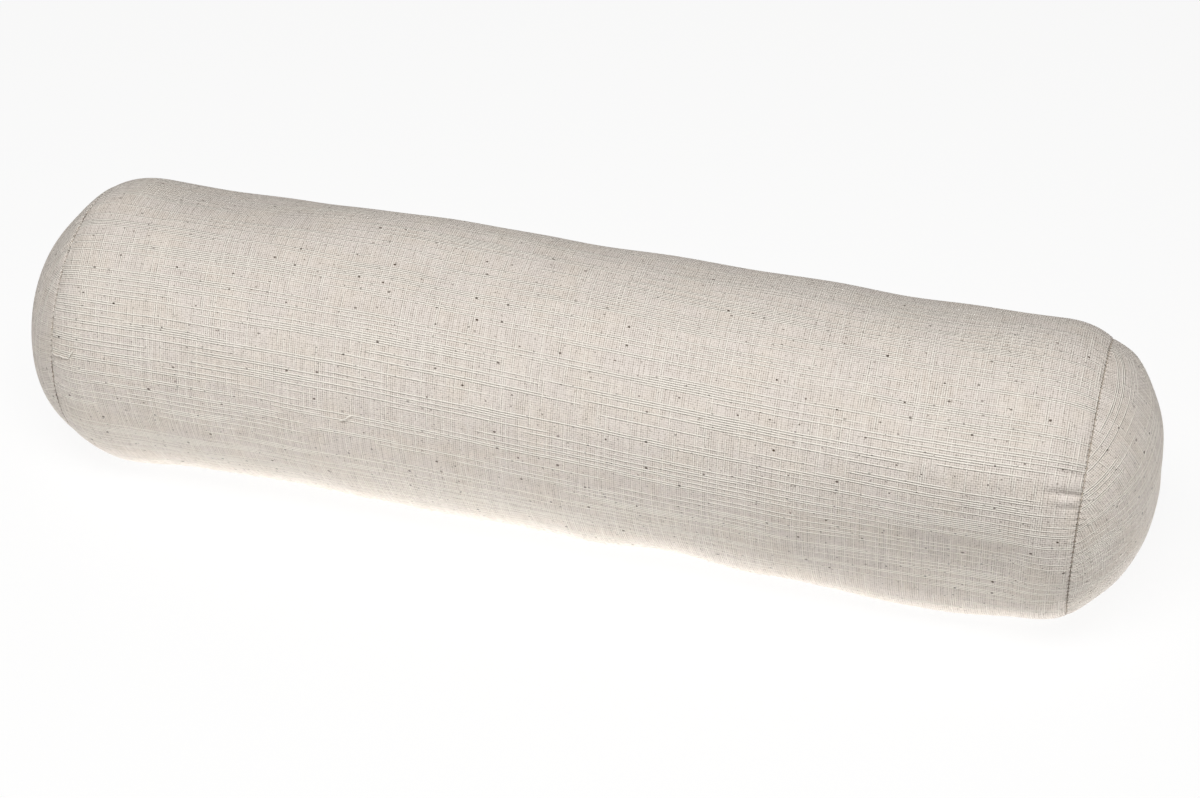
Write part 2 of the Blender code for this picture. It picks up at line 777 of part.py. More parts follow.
def zip_sewing(parts, paints):
    for side, name in ((-1, "upper"), (1, "lower")):
        end = WINDOW_X - CLEARANCE
        row = [(-end, side * STITCH_ACROSS, COVER_TOP), (end, side * STITCH_ACROSS, COVER_TOP)]
        thread_along("zip_thread_" + name, row, THREAD / 2, zip_frame(0, 0), parts, paints["thread"])
    for side, name in ((-1, "left"), (1, "right")):
        middle = side * (WINDOW_X + CLEARANCE + TACK_LENGTH / 2)
        level = COVER_TOP + CLEARANCE + TACK_HEIGHT / 2
        size = (TACK_LENGTH, TACK_WIDTH, TACK_HEIGHT)
        block("zip_tack_" + name, size, zip_frame(middle, level), parts, paints["thread"])
        path = closing_seam_path(side, extra=0)
        thread_along(
            "closing_thread_" + name, path, THREAD / 2, bolster_frame(), parts, paints["thread"]
        )


def liner_closing_thread(parts, paints):
    """The hand-closed seam of the inner bag, beside the slider's way."""
    across = SLIDER_MOUTH_WIDTH / 2 + THREAD / 2 + 4 * CLEARANCE
    level = -(SLIDER_TOP + CLEARANCE) + CLEARANCE + THREAD / 2
    row = [(-WINDOW_X, across, level), (WINDOW_X, across, level)]
    thread_along("liner_closing_thread", row, THREAD / 2, zip_frame(0, 0), parts, paints["thread"])


def main():
    clear_scene()
    parts = new_collection("yoga_bolster")
    cutters = new_collection("cutters")
    paints = make_materials()

    cover_body(parts, cutters, paints)
    liner_body(parts, paints)
    filling(parts, paints)
    for side, name in ((-1, "left"), (1, "right")):
        cover_end("cover_end_" + name, side, parts, paints)
        liner_end("liner_end_" + name, side, parts, paints)
        thread = paints["thread"]
        (seam,) = layer(["seam"], 0)
        joint = (seam[0] + CLEARANCE / 2, seam[1])
        seam_ring("end_seam_thread_" + name, joint, side, parts, thread)
        (joint,) = layer(["liner_seam"], LINER_UNDER_LIP - GROOVE_RADIUS)
        seam_ring("liner_seam_thread_" + name, joint, side, parts, thread)
    for side, name in ((-1, "upper"), (1, "lower")):
        tooth_row("zip_teeth_" + name, side, parts, paints)
        tape("zip_tape_" + name, side, parts, paints)
    slider(parts, cutters, paints)
    pull(parts, cutters, paints)
    stops(parts, paints)
    zip_sewing(parts, paints)
    liner_closing_thread(parts, paints)


main()
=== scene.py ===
"""Looks for the round yoga bolster: natural slub canvas, its seams, the zip and the inner bag.

Run as a script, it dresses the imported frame. Its operators also stand in the sidebar of the 3D view.
Metres, +Z up. X runs along the bolster, the front is -Y, and the zip is at the back.
"""

import math

import bmesh
import bpy
import numpy as np
from mathutils import Matrix, Vector


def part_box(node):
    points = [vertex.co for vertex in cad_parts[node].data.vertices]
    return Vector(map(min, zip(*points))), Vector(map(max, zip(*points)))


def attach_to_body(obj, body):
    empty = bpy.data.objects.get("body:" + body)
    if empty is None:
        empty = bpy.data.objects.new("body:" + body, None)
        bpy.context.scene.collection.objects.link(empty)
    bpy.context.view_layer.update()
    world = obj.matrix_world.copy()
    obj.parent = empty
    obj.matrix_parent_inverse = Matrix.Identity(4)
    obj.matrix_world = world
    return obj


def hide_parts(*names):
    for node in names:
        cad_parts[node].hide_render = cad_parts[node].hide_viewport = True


bl_info = {
    "name": "Yoga Bolster",
    "version": (1, 0, 0),
    "blender": (4, 5, 0),
    "location": "3D View > Sidebar > Bolster",
    "description": "Dresses the round bolster in slub canvas with its seams, zip and inner bag",
    "category": "Object",
}

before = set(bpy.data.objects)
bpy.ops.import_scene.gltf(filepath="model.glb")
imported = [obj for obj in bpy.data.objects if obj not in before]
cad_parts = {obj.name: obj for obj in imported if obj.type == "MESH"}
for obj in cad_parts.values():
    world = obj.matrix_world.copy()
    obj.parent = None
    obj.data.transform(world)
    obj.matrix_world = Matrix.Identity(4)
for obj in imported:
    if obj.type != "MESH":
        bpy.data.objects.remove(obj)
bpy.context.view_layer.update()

# The turned form, as the frame has it
BODY_RADIUS = 0.100
SEAM_X = 0.350
SEAM_RADIUS = 0.0922
SHOULDER_LENGTH = 0.0356
SHOULDER_CURVE = 2.55
DOME_HEIGHT = 0.0445
DOME_HIDDEN = 0.056
DOME_CURVE = 2.34
AXIS_HEIGHT = 0.0945
STRAIGHT_X = SEAM_X - SHOULDER_LENGTH
DOME_WHOLE = DOME_HEIGHT + DOME_HIDDEN

# Lumps of the filling: along X, turn from the zip over the top, height, half length, half spread in degrees
SWELLS = (
    (-0.100, 52, 0.0038, 0.120, 35),
    (-0.255, 52, -0.0040, 0.110, 35),
    (0.025, 48, 0.0014, 0.050, 30),
    (0.095, 48, -0.0013, 0.045, 30),
    (0.160, 48, 0.0012, 0.050, 30),
    (0.220, 52, -0.0028, 0.110, 35),
    (-0.315, 208, 0.0034, 0.055, 38),
    (-0.200, 214, -0.0022, 0.110, 38),
    (0.036, 204, 0.0036, 0.042, 30),
    (0.075, 214, -0.0030, 0.090, 38),
    (0.128, 204, 0.0028, 0.042, 30),
    (0.240, 214, 0.0044, 0.120, 38),
    (0.325, 208, -0.0022, 0.050, 38),
    (0.290, 123, 0.0058, 0.150, 23),
    (0.300, 165, -0.0062, 0.140, 25),
)

# Folds beside the end seams, with angles in degrees:
# owner, side, turn at the seam, slant in radians a metre, half width, reach, height
TUCKS = (
    ("body", 1, 121.3, 0.0, 1.5, 0.019, -0.00160),
    ("body", 1, 125.6, 0.0, 2.1, 0.019, 0.00190),
    ("body", 1, 129.1, 0.0, 1.2, 0.022, -0.00200),
    ("body", 1, 131.6, 0.0, 1.5, 0.017, 0.00140),
    ("body", 1, 134.6, 0.0, 1.3, 0.014, -0.00100),
    ("end", 1, 72.0, 6.0, 3.0, 0.018, -0.00060),
    ("end", 1, 77.0, 6.0, 2.6, 0.016, 0.00045),
    ("end", -1, 95.0, 4.0, 1.6, 0.022, -0.00060),
    ("end", -1, 98.5, 4.0, 2.0, 0.020, 0.00040),
    ("end", -1, 104.0, 4.0, 1.6, 0.022, -0.00070),
    ("end", -1, 107.5, 4.0, 2.0, 0.018, 0.00040),
    ("body", -1, 155.0, 0.0, 1.6, 0.012, -0.00045),
)

# How far a seam draws the cloth in beside it, within what reach, and where it lets folds rise
SEAM_DRAW = 0.0006
DRAW_REACH = 0.004
SEAM_HOLD = 0.004

# The turned-in edge of the canvas: distance from the end seam and depth below the outer face, row by row
TURNED_EDGE = np.array((0.00060, 0.00032, 0.00016, 0.00010, 0.00010))
TURNED_DEPTH = np.array((0.00010, 0.00030, 0.0007, 0.0014, 0.0026))

# The hems beside the zip and the closing seams beyond it: how far the cloth is drawn in, and how wide
HEM_ROLL = 0.0008
HEM_WIDTH = 0.0004
CLOSING_DRAW = 0.0005
CLOSING_WIDTH = 0.0009

# Unevenness of the cloth's face on the body and on the ends, and how far its two seams' gathers are turned
BODY_UNEVEN = 0.00045
END_UNEVEN = 0.0005
GATHER_TURN = 0.7

# How far the filling has shifted up or down in each domed end, the left and the right
END_SHIFT = {-1: -0.0036, 1: 0.0040}

# Husk flecks: cell in millimetres, share of cells without one, smallest and largest radius, darkness
FLECKS = ((15.0, 0.35, 0.45, 0.95, 1.0), (7.5, 0.30, 0.35, 0.70, 0.6))

# Loose thread ends on the cover: along X and turn from the zip over the top, point by point
LOOSE_THREADS = (
    ((-0.3489, 142.9), (-0.3450, 143.4), (-0.3403, 142.4), (-0.3367, 142.9), (-0.3333, 142.8)),
    ((-0.3333, 142.8), (-0.3316, 140.9), (-0.3293, 138.9)),
    ((-0.1354, 148.7), (-0.1317, 147.7), (-0.1283, 145.5), (-0.1269, 145.8)),
)

# The zip's place and sizes, as the frame has them
ZIP_ELEVATION = math.radians(22.5)
FACET_SHARE = math.cos(math.pi / 32)
ZIP_FACE = BODY_RADIUS * FACET_SHARE
WINDOW_X = 0.300
WINDOW_HALF = 0.0057
TAPE_LEVEL = ZIP_FACE - 0.0026
TOOTH_THICKNESS = 0.0024
RAIL_INNER = 0.0017
RAIL_OUTER = 0.0029
STITCH_ACROSS = WINDOW_HALF + 0.0020
TACK_LENGTH = 0.0020
TACK_WIDTH = 0.0100

# The two ends of the bolster, and the two sides of its zip
SIDES = ((-1, "left"), (1, "right"))
ROWS = ((-1, "upper"), (1, "lower"))

# Depths below the cover's outer face
LINING_DEPTH = 0.0019
WADDING_DEPTH = 0.0030
WADDING_END_DEPTH = 0.0050

# Thickness of the two cloths, the room left inside each, and the room for the slider under the tapes' middle
CANVAS = 0.0010
LINING = 0.0005
LINING_SLACK = 0.0012
WADDING_SLACK = 0.0015
SLIDER_ROOM = 0.0031

# The inner bag's tube draws in towards its seams, and each of its end panels starts with a rim inside it
TUBE_X = SEAM_X - 0.013
TUBE_DRAW = 0.0026
TUBE_DRAW_X = 0.322
TUBE_DRAW_LENGTH = 0.012
LINING_SEAM_X = SEAM_X - 0.0108
LINING_RIM_X = (SEAM_X - 0.009, SEAM_X - 0.001)
LINING_RIM_RADIUS = (0.0885, 0.0875)

# Stitches that differ from the settings: along the zip, across its ends, and down in a seam
ROW_STITCH = {"Pitch": 0.0032, "Length": 0.0026}
TACK_STITCH = {"Pitch": 0.0011, "Length": 0.0016, "Lift": 0.0007}
SUNK_LIFT = 0.0001
SHORT_STITCH = 0.0030

# Paths of the sewing: depth of the end seams and of the closing seams, and the tacks' first bar and number
END_SEAM_DEPTH = 0.0013
CLOSING_DEPTH = 0.0004
TACK_START = 0.0005
TACK_BARS = 5
RING_POINTS = 160

# How the canvas lies on the body: cross yarns lean, less towards +X, and long yarns bow in a slow wave
CLOTH_LEAN = 0.065
CLOTH_TURN = 0.15
CLOTH_BOW = 0.0050
BOW_PLACE = 0.02
BOW_LENGTH = 0.9

# Middle of an end's cloth map in millimetres
END_CLOTH = (900.0, 300.0)

# Millimetres in a metre
MM = 1000.0

# Strength of the room's light and of the table's painted glow, the middle of the table's dim patch,
# and how far the camera looks right of and below the bolster's middle
ROOM_LIGHT = 0.03
TABLE_LIGHT = 2.1
DIM_PATCH = (0.50, -0.42, 0.0)
AIM_RIGHT = 0.01511
AIM_DOWN = 0.00637


# Settings that a user would change

def linear(hex_colour):
    """An sRGB hex colour as the linear values that sockets take."""
    parts = [int(hex_colour[i:i + 2], 16) / 255 for i in (1, 3, 5)]
    return tuple(p / 12.92 if p <= 0.04045 else ((p + 0.055) / 1.055) ** 2.4 for p in parts)


def colour(name, description, value):
    return bpy.props.FloatVectorProperty(
        name=name, description=description, default=linear(value), size=3, min=0, max=1, subtype="COLOR"
    )


def length(name, description, value):
    return bpy.props.FloatProperty(
        name=name, description=description, default=value, min=0, unit="LENGTH", subtype="DISTANCE"
    )


def angle(name, description, degrees):
    return bpy.props.FloatProperty(
        name=name, description=description, default=math.radians(degrees), subtype="ANGLE"
    )


class BolsterClothSettings(bpy.types.PropertyGroup):
    canvas: colour("Canvas", "Undyed cotton of the cover", "#E7DFD8")
    warm: colour("Warm canvas", "Where the cotton is less bleached", "#E9DFD1")
    # Canvas gaps is painted shade: the colour laid towards the yarns' edges, between them, in the pinholes
    # and beside the slubs
    shade: colour("Canvas gaps", "What shows between the yarns", "#998D80")
    slub: colour("Slubs", "Thick places of the yarns", "#FDF8EE")
    seed: colour("Seed flecks", "Bits of husk spun into the yarn", "#4C3D30")
    lining: colour("Lining", "Thin cotton of the inner bag", "#E9E4D9")
    wadding: colour("Wadding", "Packed cotton of the filling", "#F1ECE0")
    yarn: length("Yarn spacing", "From one yarn to the next in the canvas", 0.0015)
    left_turn: angle("Left end turn", "How far the left end's canvas is turned against the body's", 50)
    right_turn: angle("Right end turn", "How far the right end's canvas is turned against the body's", 8.5)
    rows: length("Mesh step", "From one row of the cover's mesh to the next", 0.0075)


class BolsterSewingSettings(bpy.types.PropertyGroup):
    thread: colour("Thread", "Spun cotton sewing thread", "#CFC4B2")
    # The seam shadow is painted shade: the colour laid on the cloth down in the end seam, in its needle
    # holes and where it gapes
    dark: colour("Seam shadow", "Cloth deep in a seam", "#553B23")
    pitch: length("Stitch", "From one stitch to the next", 0.0040)
    thickness: length("Thread thickness", "Across one sewing thread", 0.00045)


class BolsterZipSettings(bpy.types.PropertyGroup):
    tape: colour("Tape", "Woven tape of the zip", "#C9BFAF")
    teeth: colour("Teeth", "Moulded teeth of the zip", "#D3C8B6")
    brass: colour("Brass", "Slider, pull and stops", "#A98B54")
    tooth_pitch: length("Tooth pitch", "From one tooth to the next in a row", 0.0030)


class BolsterStageSettings(bpy.types.PropertyGroup):
    elevation: angle("Elevation", "Camera above the floor", 35.6)
    turn: angle("Turn", "Camera round the bolster", 16.29)
    distance: length("Distance", "Camera from the bolster's middle", 1.715)
    lens: bpy.props.FloatProperty(
        name="Lens", description="Focal length in millimetres", default=74.97, min=1
    )
    key: bpy.props.FloatProperty(
        name="Key light", description="Watts of the large soft light", default=54.0, min=0, unit="POWER"
    )
    back: bpy.props.FloatProperty(
        name="Back light", description="Watts of the low light behind", default=1.2, min=0, unit="POWER"
    )
    floor: colour("Floor", "The pale table under the bolster", "#FAFAF9")


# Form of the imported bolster

def turned_radius(along):
    reach = np.clip((np.abs(along) - STRAIGHT_X) / SHOULDER_LENGTH, 0, 1)
    return BODY_RADIUS - (BODY_RADIUS - SEAM_RADIUS) * reach ** SHOULDER_CURVE


def dome_radius(beyond_seam):
    at_seam = (1 - (DOME_HIDDEN / DOME_WHOLE) ** DOME_CURVE) ** (1 / DOME_CURVE)
    reach = np.minimum(1, (DOME_HIDDEN + beyond_seam) / DOME_WHOLE)
    return SEAM_RADIUS / at_seam * (1 - reach ** DOME_CURVE) ** (1 / DOME_CURVE)


def bump(distance, reach):
    """1 at the middle, falling smoothly to 0 at the reach."""
    near = np.clip(np.abs(distance) / reach, 0, 1)
    return 0.5 + 0.5 * np.cos(np.pi * near)


def turn_between(around, place):
    """The turn from a place, within half a turn to either side."""
    return np.remainder(around - place + np.pi, 2 * np.pi) - np.pi


def swelling(along, around):
    """Height of the filling's lumps, which end where the shoulders draw in."""
    total = np.zeros(np.broadcast(along, around).shape)
    for place, turn, height, reach, spread in SWELLS:
        from_middle = turn_between(around, math.radians(turn))
        total += height * bump(along - place, reach) * bump(from_middle, math.radians(spread))
    return total * np.clip((SEAM_X - np.abs(along)) / SHOULDER_LENGTH, 0, 1)


def waves(first, second, seed, count, shortest, longest):
    """Smooth seeded unevenness over two coordinates, within about 1 to either side of 0."""
    source = np.random.default_rng(seed)
    total = np.zeros(np.broadcast(first, second).shape)
    for _ in range(count):
        wave = 2 * np.pi / source.uniform(shortest, longest)
        lean = source.uniform(0, 2 * np.pi)
        phase = source.uniform(0, 2 * np.pi)
        total += np.sin(wave * (first * np.cos(lean) + second * np.sin(lean)) + phase)
    return total / math.sqrt(count)


def away_from_zip(around):
    """0 over the zip's own facet, 1 from some way round."""
    return np.clip(np.abs(turn_between(around, 0)) / math.radians(14) - 0.6, 0, 1)


def rests_within(radius, around):
    """The radius, cut to where the floor and the zip's flat facet are."""
    from_floor = np.cos(around + ZIP_ELEVATION + np.pi / 2)
    floor = np.where(from_floor > 0.2, AXIS_HEIGHT / np.maximum(from_floor, 0.2), 1)
    from_zip = np.cos(turn_between(around, 0))
    facet = np.where(from_zip > 0.5, FACET_SHARE / np.maximum(from_zip, 0.5), 2)
    return np.minimum(np.minimum(radius, floor), radius * facet)


def gathers(away, around, seed):
    """Little ridges and tucks that the end seam draws in the cloth beside it."""
    source = np.random.default_rng(seed)
    total = np.zeros(np.broadcast(away, around).shape)
    for _ in range(46):
        place = source.uniform(0, 2 * np.pi)
        width = source.uniform(0.018, 0.050)
        reach = source.uniform(0.006, 0.020)
        height = source.normal(0, 0.00028)
        total += height * np.exp(-(turn_between(around, place) / width) ** 2 - (away / reach) ** 2)
    return total


def tucks(part, end, away, around):
    """The single folds that stand out beside the seams, on the body or on an end."""
    total = np.zeros(np.broadcast(away, around).shape)
    for owner, side, place, slant, width, reach, height in TUCKS:
        if owner == part:
            across = turn_between(around, math.radians(place) + slant * away) / math.radians(width)
            held = 0.35 + 0.65 * np.clip(away / SEAM_HOLD, 0, 1)
            fold = height * held * np.exp(-across ** 2 - (away / reach) ** 4)
            total += np.where(end == side, fold, 0)
    return total


def seam_opening(end, around):
    """How far the seam gapes: most at the front, and more at the right end."""
    right = 0.75 * bump(turn_between(around, math.radians(160)), math.radians(46))
    left = 0.50 * bump(turn_between(around, math.radians(160)), math.radians(34))
    return 0.25 + np.where(end > 0, right, left)


def seam_values(end, around, away, depth):
    """What the canvas reads beside an end seam: lengths in millimetres, and how far the seam gapes."""
    return {
        "seam_away": np.where(depth > 0.0003, -depth, away) * MM,
        "seam_along": around * SEAM_RADIUS * MM,
        "seam_open": seam_opening(end, around),
    }


def place_points(along, around, radius):
    """Points from the bolster's own coordinates: along, turn from the zip over the top, radius."""
    turn = around + ZIP_ELEVATION
    along = np.broadcast_to(along, radius.shape)
    return np.stack((along, radius * np.cos(turn), AXIS_HEIGHT + radius * np.sin(turn)), -1)


def zip_point(along, across, out):
    """A point in the zip's frame: along it, down across it, and out from the tape's middle."""
    outward = Vector((0, math.cos(ZIP_ELEVATION), math.sin(ZIP_ELEVATION)))
    down = outward.cross(Vector((1, 0, 0)))
    return Vector((along, 0, AXIS_HEIGHT)) + down * across + outward * (TAPE_LEVEL + out)


# Meshes and pieces

def grid_mesh(name, points, weave, values, closed_end=None, skipped=None):
    """A skin of rows round the bolster, with its cloth map and named values. Rows run outwards in X.

    closed_end is a last single point, and skipped marks the faces left out.
    """
    rows, columns = points.shape[:2]
    mesh = bpy.data.meshes.new(name)
    vertices = [tuple(p) for p in points.reshape(-1, 3)]
    faces = []
    weave_of = []
    for row in range(rows - 1):
        for column in range(columns):
            if skipped is not None and skipped[row, column]:
                continue
            corners = ((row, column), (row, column + 1), (row + 1, column + 1), (row + 1, column))
            faces.append([r * columns + c % columns for r, c in corners])
            weave_of += [tuple(weave[corner]) for corner in corners]
    if closed_end is not None:
        end_point, end_weave = closed_end
        vertices.append(tuple(end_point))
        last = (rows - 1) * columns
        for column in range(columns):
            faces.append((last + column, last + (column + 1) % columns, len(vertices) - 1))
            weave_of += [tuple(weave[rows - 1, column]), tuple(weave[rows - 1, column + 1]), end_weave]
    mesh.from_pydata(vertices, [], faces)
    layer = mesh.uv_layers.new(name="cloth")
    layer.data.foreach_set("uv", np.array(weave_of, np.float32).ravel())
    for key, value in values.items():
        attribute = mesh.attributes.new(key, "FLOAT", "POINT")
        data = np.zeros(len(vertices), np.float32)
        data[:rows * columns] = np.broadcast_to(value, (rows, columns)).ravel()
        data[rows * columns:] = data[rows * columns - 1]
        attribute.data.foreach_set("value", data)
    mesh.shade_smooth()
    return mesh


def put(name, data):
    """A new object in the scene, at the origin."""
    obj = bpy.data.objects.new(name, data)
    bpy.context.scene.collection.objects.link(obj)
    return obj


def dress(mesh, paint):
    """Give a mesh one material in place of what it has."""
    mesh.materials.clear()
    mesh.materials.append(paint)


def piece_from(name, mesh, paint):
    """A piece at the origin with its place in its mesh."""
    dress(mesh, paint)
    return put(name, mesh)


def mesh_from(work, name):
    """A new mesh from the worked one, which is let go."""
    mesh = bpy.data.meshes.new(name)
    work.to_mesh(mesh)
    work.free()
    return mesh


def settle(obj):
    """Take the object's modifiers into its mesh."""
    graph = bpy.context.evaluated_depsgraph_get()
    graph.update()
    mesh = bpy.data.meshes.new_from_object(obj.evaluated_get(graph))
    obj.modifiers.clear()
    obj.data = mesh
    mesh.name = obj.name
    return obj


def attach(obj, body, slot, *nodes):
    """Say which body a piece rides and the frame's nodes that it stands for; the material slot is not used.
    """
    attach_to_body(obj, body)
    if nodes:
        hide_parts(*nodes)
    return obj


def thicken(obj, thickness):
    wall = obj.modifiers.new("Cloth thickness", "SOLIDIFY")
    wall.thickness = thickness
    wall.offset = -1
    wall.use_even_offset = True
    return settle(obj)


# Node trees

def add(tree, kind, inputs=None, **settings):
    """Add a node with its settings and links, and give its outputs. A bare kind is a shader node's."""
    made = tree.nodes.new(kind if "Node" in kind else "ShaderNode" + kind)
    for key, value in settings.items():
        setattr(made, key, value)
    for key, value in (inputs or {}).items():
        if isinstance(value, bpy.types.NodeSocket):
            tree.links.new(value, made.inputs[key])
        else:
            made.inputs[key].default_value = value
    return made.outputs


def new_material(name):
    """A new material and its empty node tree."""
    paint = bpy.data.materials.new(name)
    paint.use_nodes = True
    paint.node_tree.nodes.clear()
    return paint, paint.node_tree


def close_material(tree, **inputs):
    """The Principled shader and the output: names are the sockets', with _ for a space."""
    values = {key.replace("_", " "): value for key, value in inputs.items()}
    shader = add(tree, "BsdfPrincipled", values)
    add(tree, "OutputMaterial", {"Surface": shader[0]})


def toned_material(paint, base, value, shades, distance, lowest=0.0, **inputs):
    """Close a material whose colour and bump follow one value: base times the two shades, and a height. The
    colour is darker where the value is low: painted shade in the low places of ribs, plies and weave, and
    the own tone of flow marks and mottle.
    """
    tree = paint.node_tree
    span = {"Value": value, "From Min": lowest, "To Min": shades[0], "To Max": shades[1]}
    level = add(tree, "MapRange", span)[0]
    toned = add(tree, "VectorMath", {0: tuple(base), "Scale": level}, operation="SCALE")[0]
    relief = add(tree, "Bump", {"Height": value, "Distance": distance})[0]
    close_material(tree, Base_Color=toned, Normal=relief, **inputs)
    return paint


# Materials

def yarn_noise(tree, split, axis, number, run, seed, detail):
    """Slow noise along the yarns of one axis, each with its own: run is its length in millimetres."""
    along = add(tree, "Math", {0: split[1 - axis], 1: run}, operation="DIVIDE")[0]
    own = add(tree, "Math", {0: number, 1: seed + axis}, operation="MULTIPLY")[0]
    spot = add(tree, "CombineXYZ", {0: along, 1: own})[0]
    return add(tree, "TexNoise", {"Vector": spot, "Scale": 1.0, "Detail": detail}, noise_dimensions="2D")[0]


def woven_yarns(tree, split, pitch):
    """The yarns that run round the bolster, axis 0, and those that run along it, axis 1."""
    yarns = []
    for axis, run, depth in ((0, 22.0, 0.42), (1, 46.0, 0.17)):
        count = add(tree, "Math", {0: split[axis], 1: pitch}, operation="DIVIDE")[0]
        yarn = {}
        for name, operation in (("number", "FLOOR"), ("part", "FRACT"), ("border", "ROUND")):
            yarn[name] = add(tree, "Math", {0: count}, operation=operation)[0]
        turn = add(tree, "Math", {0: yarn["part"], 1: math.pi}, operation="MULTIPLY")[0]
        yarn["crown"] = add(tree, "Math", {0: turn}, operation="SINE")[0]
        yarn["thin"] = add(tree, "Math", {0: 1.0, 1: yarn["crown"]}, operation="SUBTRACT")[0]
        # Painted shade towards each yarn's edges and between the yarns, more where the noise opens the weave
        loose = yarn_noise(tree, split, axis, yarn["border"], run, 5.17, 2.0)
        span = {"Value": loose, "From Min": 0.38, "From Max": 0.66, "To Max": depth}
        opened = add(tree, "MapRange", span)[0]
        yarn["gap"] = add(tree, "Math", {0: opened, 1: yarn["thin"]}, operation="MULTIPLY")[0]
        yarns.append(yarn)
    return yarns


def slubs(tree, split, yarns):
    """Thick places, where a yarn's own noise is over a threshold, and the painted shadow beside the long
    ones.
    """
    thick = {}
    raised = {}
    for axis, run, low, high in ((1, 170.0, 0.52, 0.57), (0, 38.0, 0.56, 0.66)):
        noise = yarn_noise(tree, split, axis, yarns[axis]["number"], run, 7.31, 2.5)
        span = {"Value": noise, "From Min": low, "From Max": high}
        thick[axis] = add(tree, "MapRange", span, interpolation_type="SMOOTHSTEP")[0]
        raised[axis] = add(tree, "Math", {0: thick[axis], 1: yarns[axis]["crown"]}, operation="MULTIPLY")[0]
    lower = add(tree, "Math", {0: raised[0], 1: 0.60}, operation="MULTIPLY")[0]
    slub = add(tree, "Math", {0: raised[1], 1: lower}, operation="MAXIMUM")[0]
    edge = add(tree, "MapRange", {"Value": yarns[1]["part"], "From Min": 0.70, "From Max": 0.92})[0]
    shadow = add(tree, "Math", {0: thick[1], 1: edge}, operation="MULTIPLY")[0]
    return slub, shadow


def flecked(tree, laid, base, husk):
    """Husk flecks on a colour: a few sharp and more faint ones, each a little longer along its yarn."""
    for cell, bare, smallest, largest, strength in FLECKS:
        spots = add(tree, "Mapping", {"Vector": laid, "Scale": (0.7 / cell, 1 / cell, 1.0)})[0]
        cells = add(tree, "TexVoronoi", {"Vector": spots, "Scale": 1.0}, voronoi_dimensions="2D")
        chance = add(tree, "SeparateColor", {0: cells["Color"]})
        span = {"Value": chance[0], "From Min": bare, "To Min": smallest / cell, "To Max": largest / cell}
        size = add(tree, "MapRange", span)[0]
        here = add(tree, "Math", {0: chance[0], 1: bare}, operation="GREATER_THAN")[0]
        inner = add(tree, "Math", {0: size, 1: 0.65}, operation="MULTIPLY")[0]
        own = add(tree, "MapRange", {"Value": chance[1], "To Min": 0.4 * strength, "To Max": strength})[0]
        span = {"Value": cells["Distance"], "From Min": size, "From Max": inner, "To Max": own}
        mark = add(tree, "MapRange", span)[0]
        mark = add(tree, "Math", {0: mark, 1: here}, operation="MULTIPLY")[0]
        base = add(tree, "Mix", {0: mark, 6: base, 7: (*husk, 1)}, data_type="RGBA")[2]
    return base


def seam_painted_shade(tree, away, along, opening, pitch):
    """Painted shade in the end seam: how dark its needle holes, the cloth down in it and its gape are
    painted; and the wave of its stitches.
    """
    stitch = along
    for operation, value in (("DIVIDE", pitch), ("FRACT", 0.0), ("SUBTRACT", 0.5), ("MULTIPLY", pitch)):
        stitch = add(tree, "Math", {0: stitch, 1: value}, operation=operation)[0]
    side = add(tree, "Math", {0: away, 1: 0.55}, operation="SUBTRACT")[0]
    to_hole = add(tree, "CombineXYZ", {0: stitch, 1: side})[0]
    to_hole = add(tree, "VectorMath", {0: to_hole}, operation="LENGTH")["Value"]
    span = {"Value": to_hole, "From Min": 0.55, "From Max": 0.25, "To Max": 0.75}
    needle_hole_shade = add(tree, "MapRange", span)[0]
    wave = add(tree, "Math", {0: stitch, 1: 2 * math.pi / pitch}, operation="MULTIPLY")[0]
    wave = add(tree, "Math", {0: wave}, operation="COSINE")[0]
    gape = add(tree, "MapRange", {"Value": wave, "From Min": -0.3, "From Max": 0.4, "To Min": 0.15})[0]
    reach = add(tree, "MapRange", {"Value": away, "From Min": 0.45, "From Max": 0.10})[0]
    for share in (opening, reach):
        gape = add(tree, "Math", {0: gape, 1: share}, operation="MULTIPLY")[0]
    sunk = add(tree, "MapRange", {"Value": away, "From Min": 0.1, "From Max": -0.6})[0]
    sunk = add(tree, "Math", {0: sunk, 1: opening}, operation="MULTIPLY")[0]
    dark = needle_hole_shade
    for other in (sunk, gape):
        dark = add(tree, "Math", {0: dark, 1: other}, operation="MAXIMUM")[0]
    return dark, wave


def seam_relief(tree, relief, away, along, opening, wave):
    """The small tuck that every stitch draws, and longer puckers where the seam gapes."""
    near = add(tree, "MapRange", {"Value": away, "From Min": 6.0, "From Max": 0.5})[0]
    drawn = add(tree, "Math", {0: wave, 1: near}, operation="MULTIPLY")[0]
    relief = add(tree, "Bump", {"Height": drawn, "Distance": 0.00018, "Normal": relief})[0]
    run = add(tree, "CombineXYZ", {0: along, 1: away})[0]
    run = add(tree, "Mapping", {"Vector": run, "Scale": (0.22, 0.03, 1.0)})[0]
    pucker = add(tree, "TexNoise", {"Vector": run, "Scale": 1.0, "Detail": 1.0}, noise_dimensions="2D")[0]
    near = add(tree, "MapRange", {"Value": away, "From Min": 16.0, "From Max": 1.0})[0]
    near = add(tree, "Math", {0: near, 1: opening}, operation="MULTIPLY")[0]
    pucker = add(tree, "Math", {0: pucker, 1: near}, operation="MULTIPLY")[0]
    return add(tree, "Bump", {"Height": pucker, "Distance": 0.0012, "Normal": relief})[0]


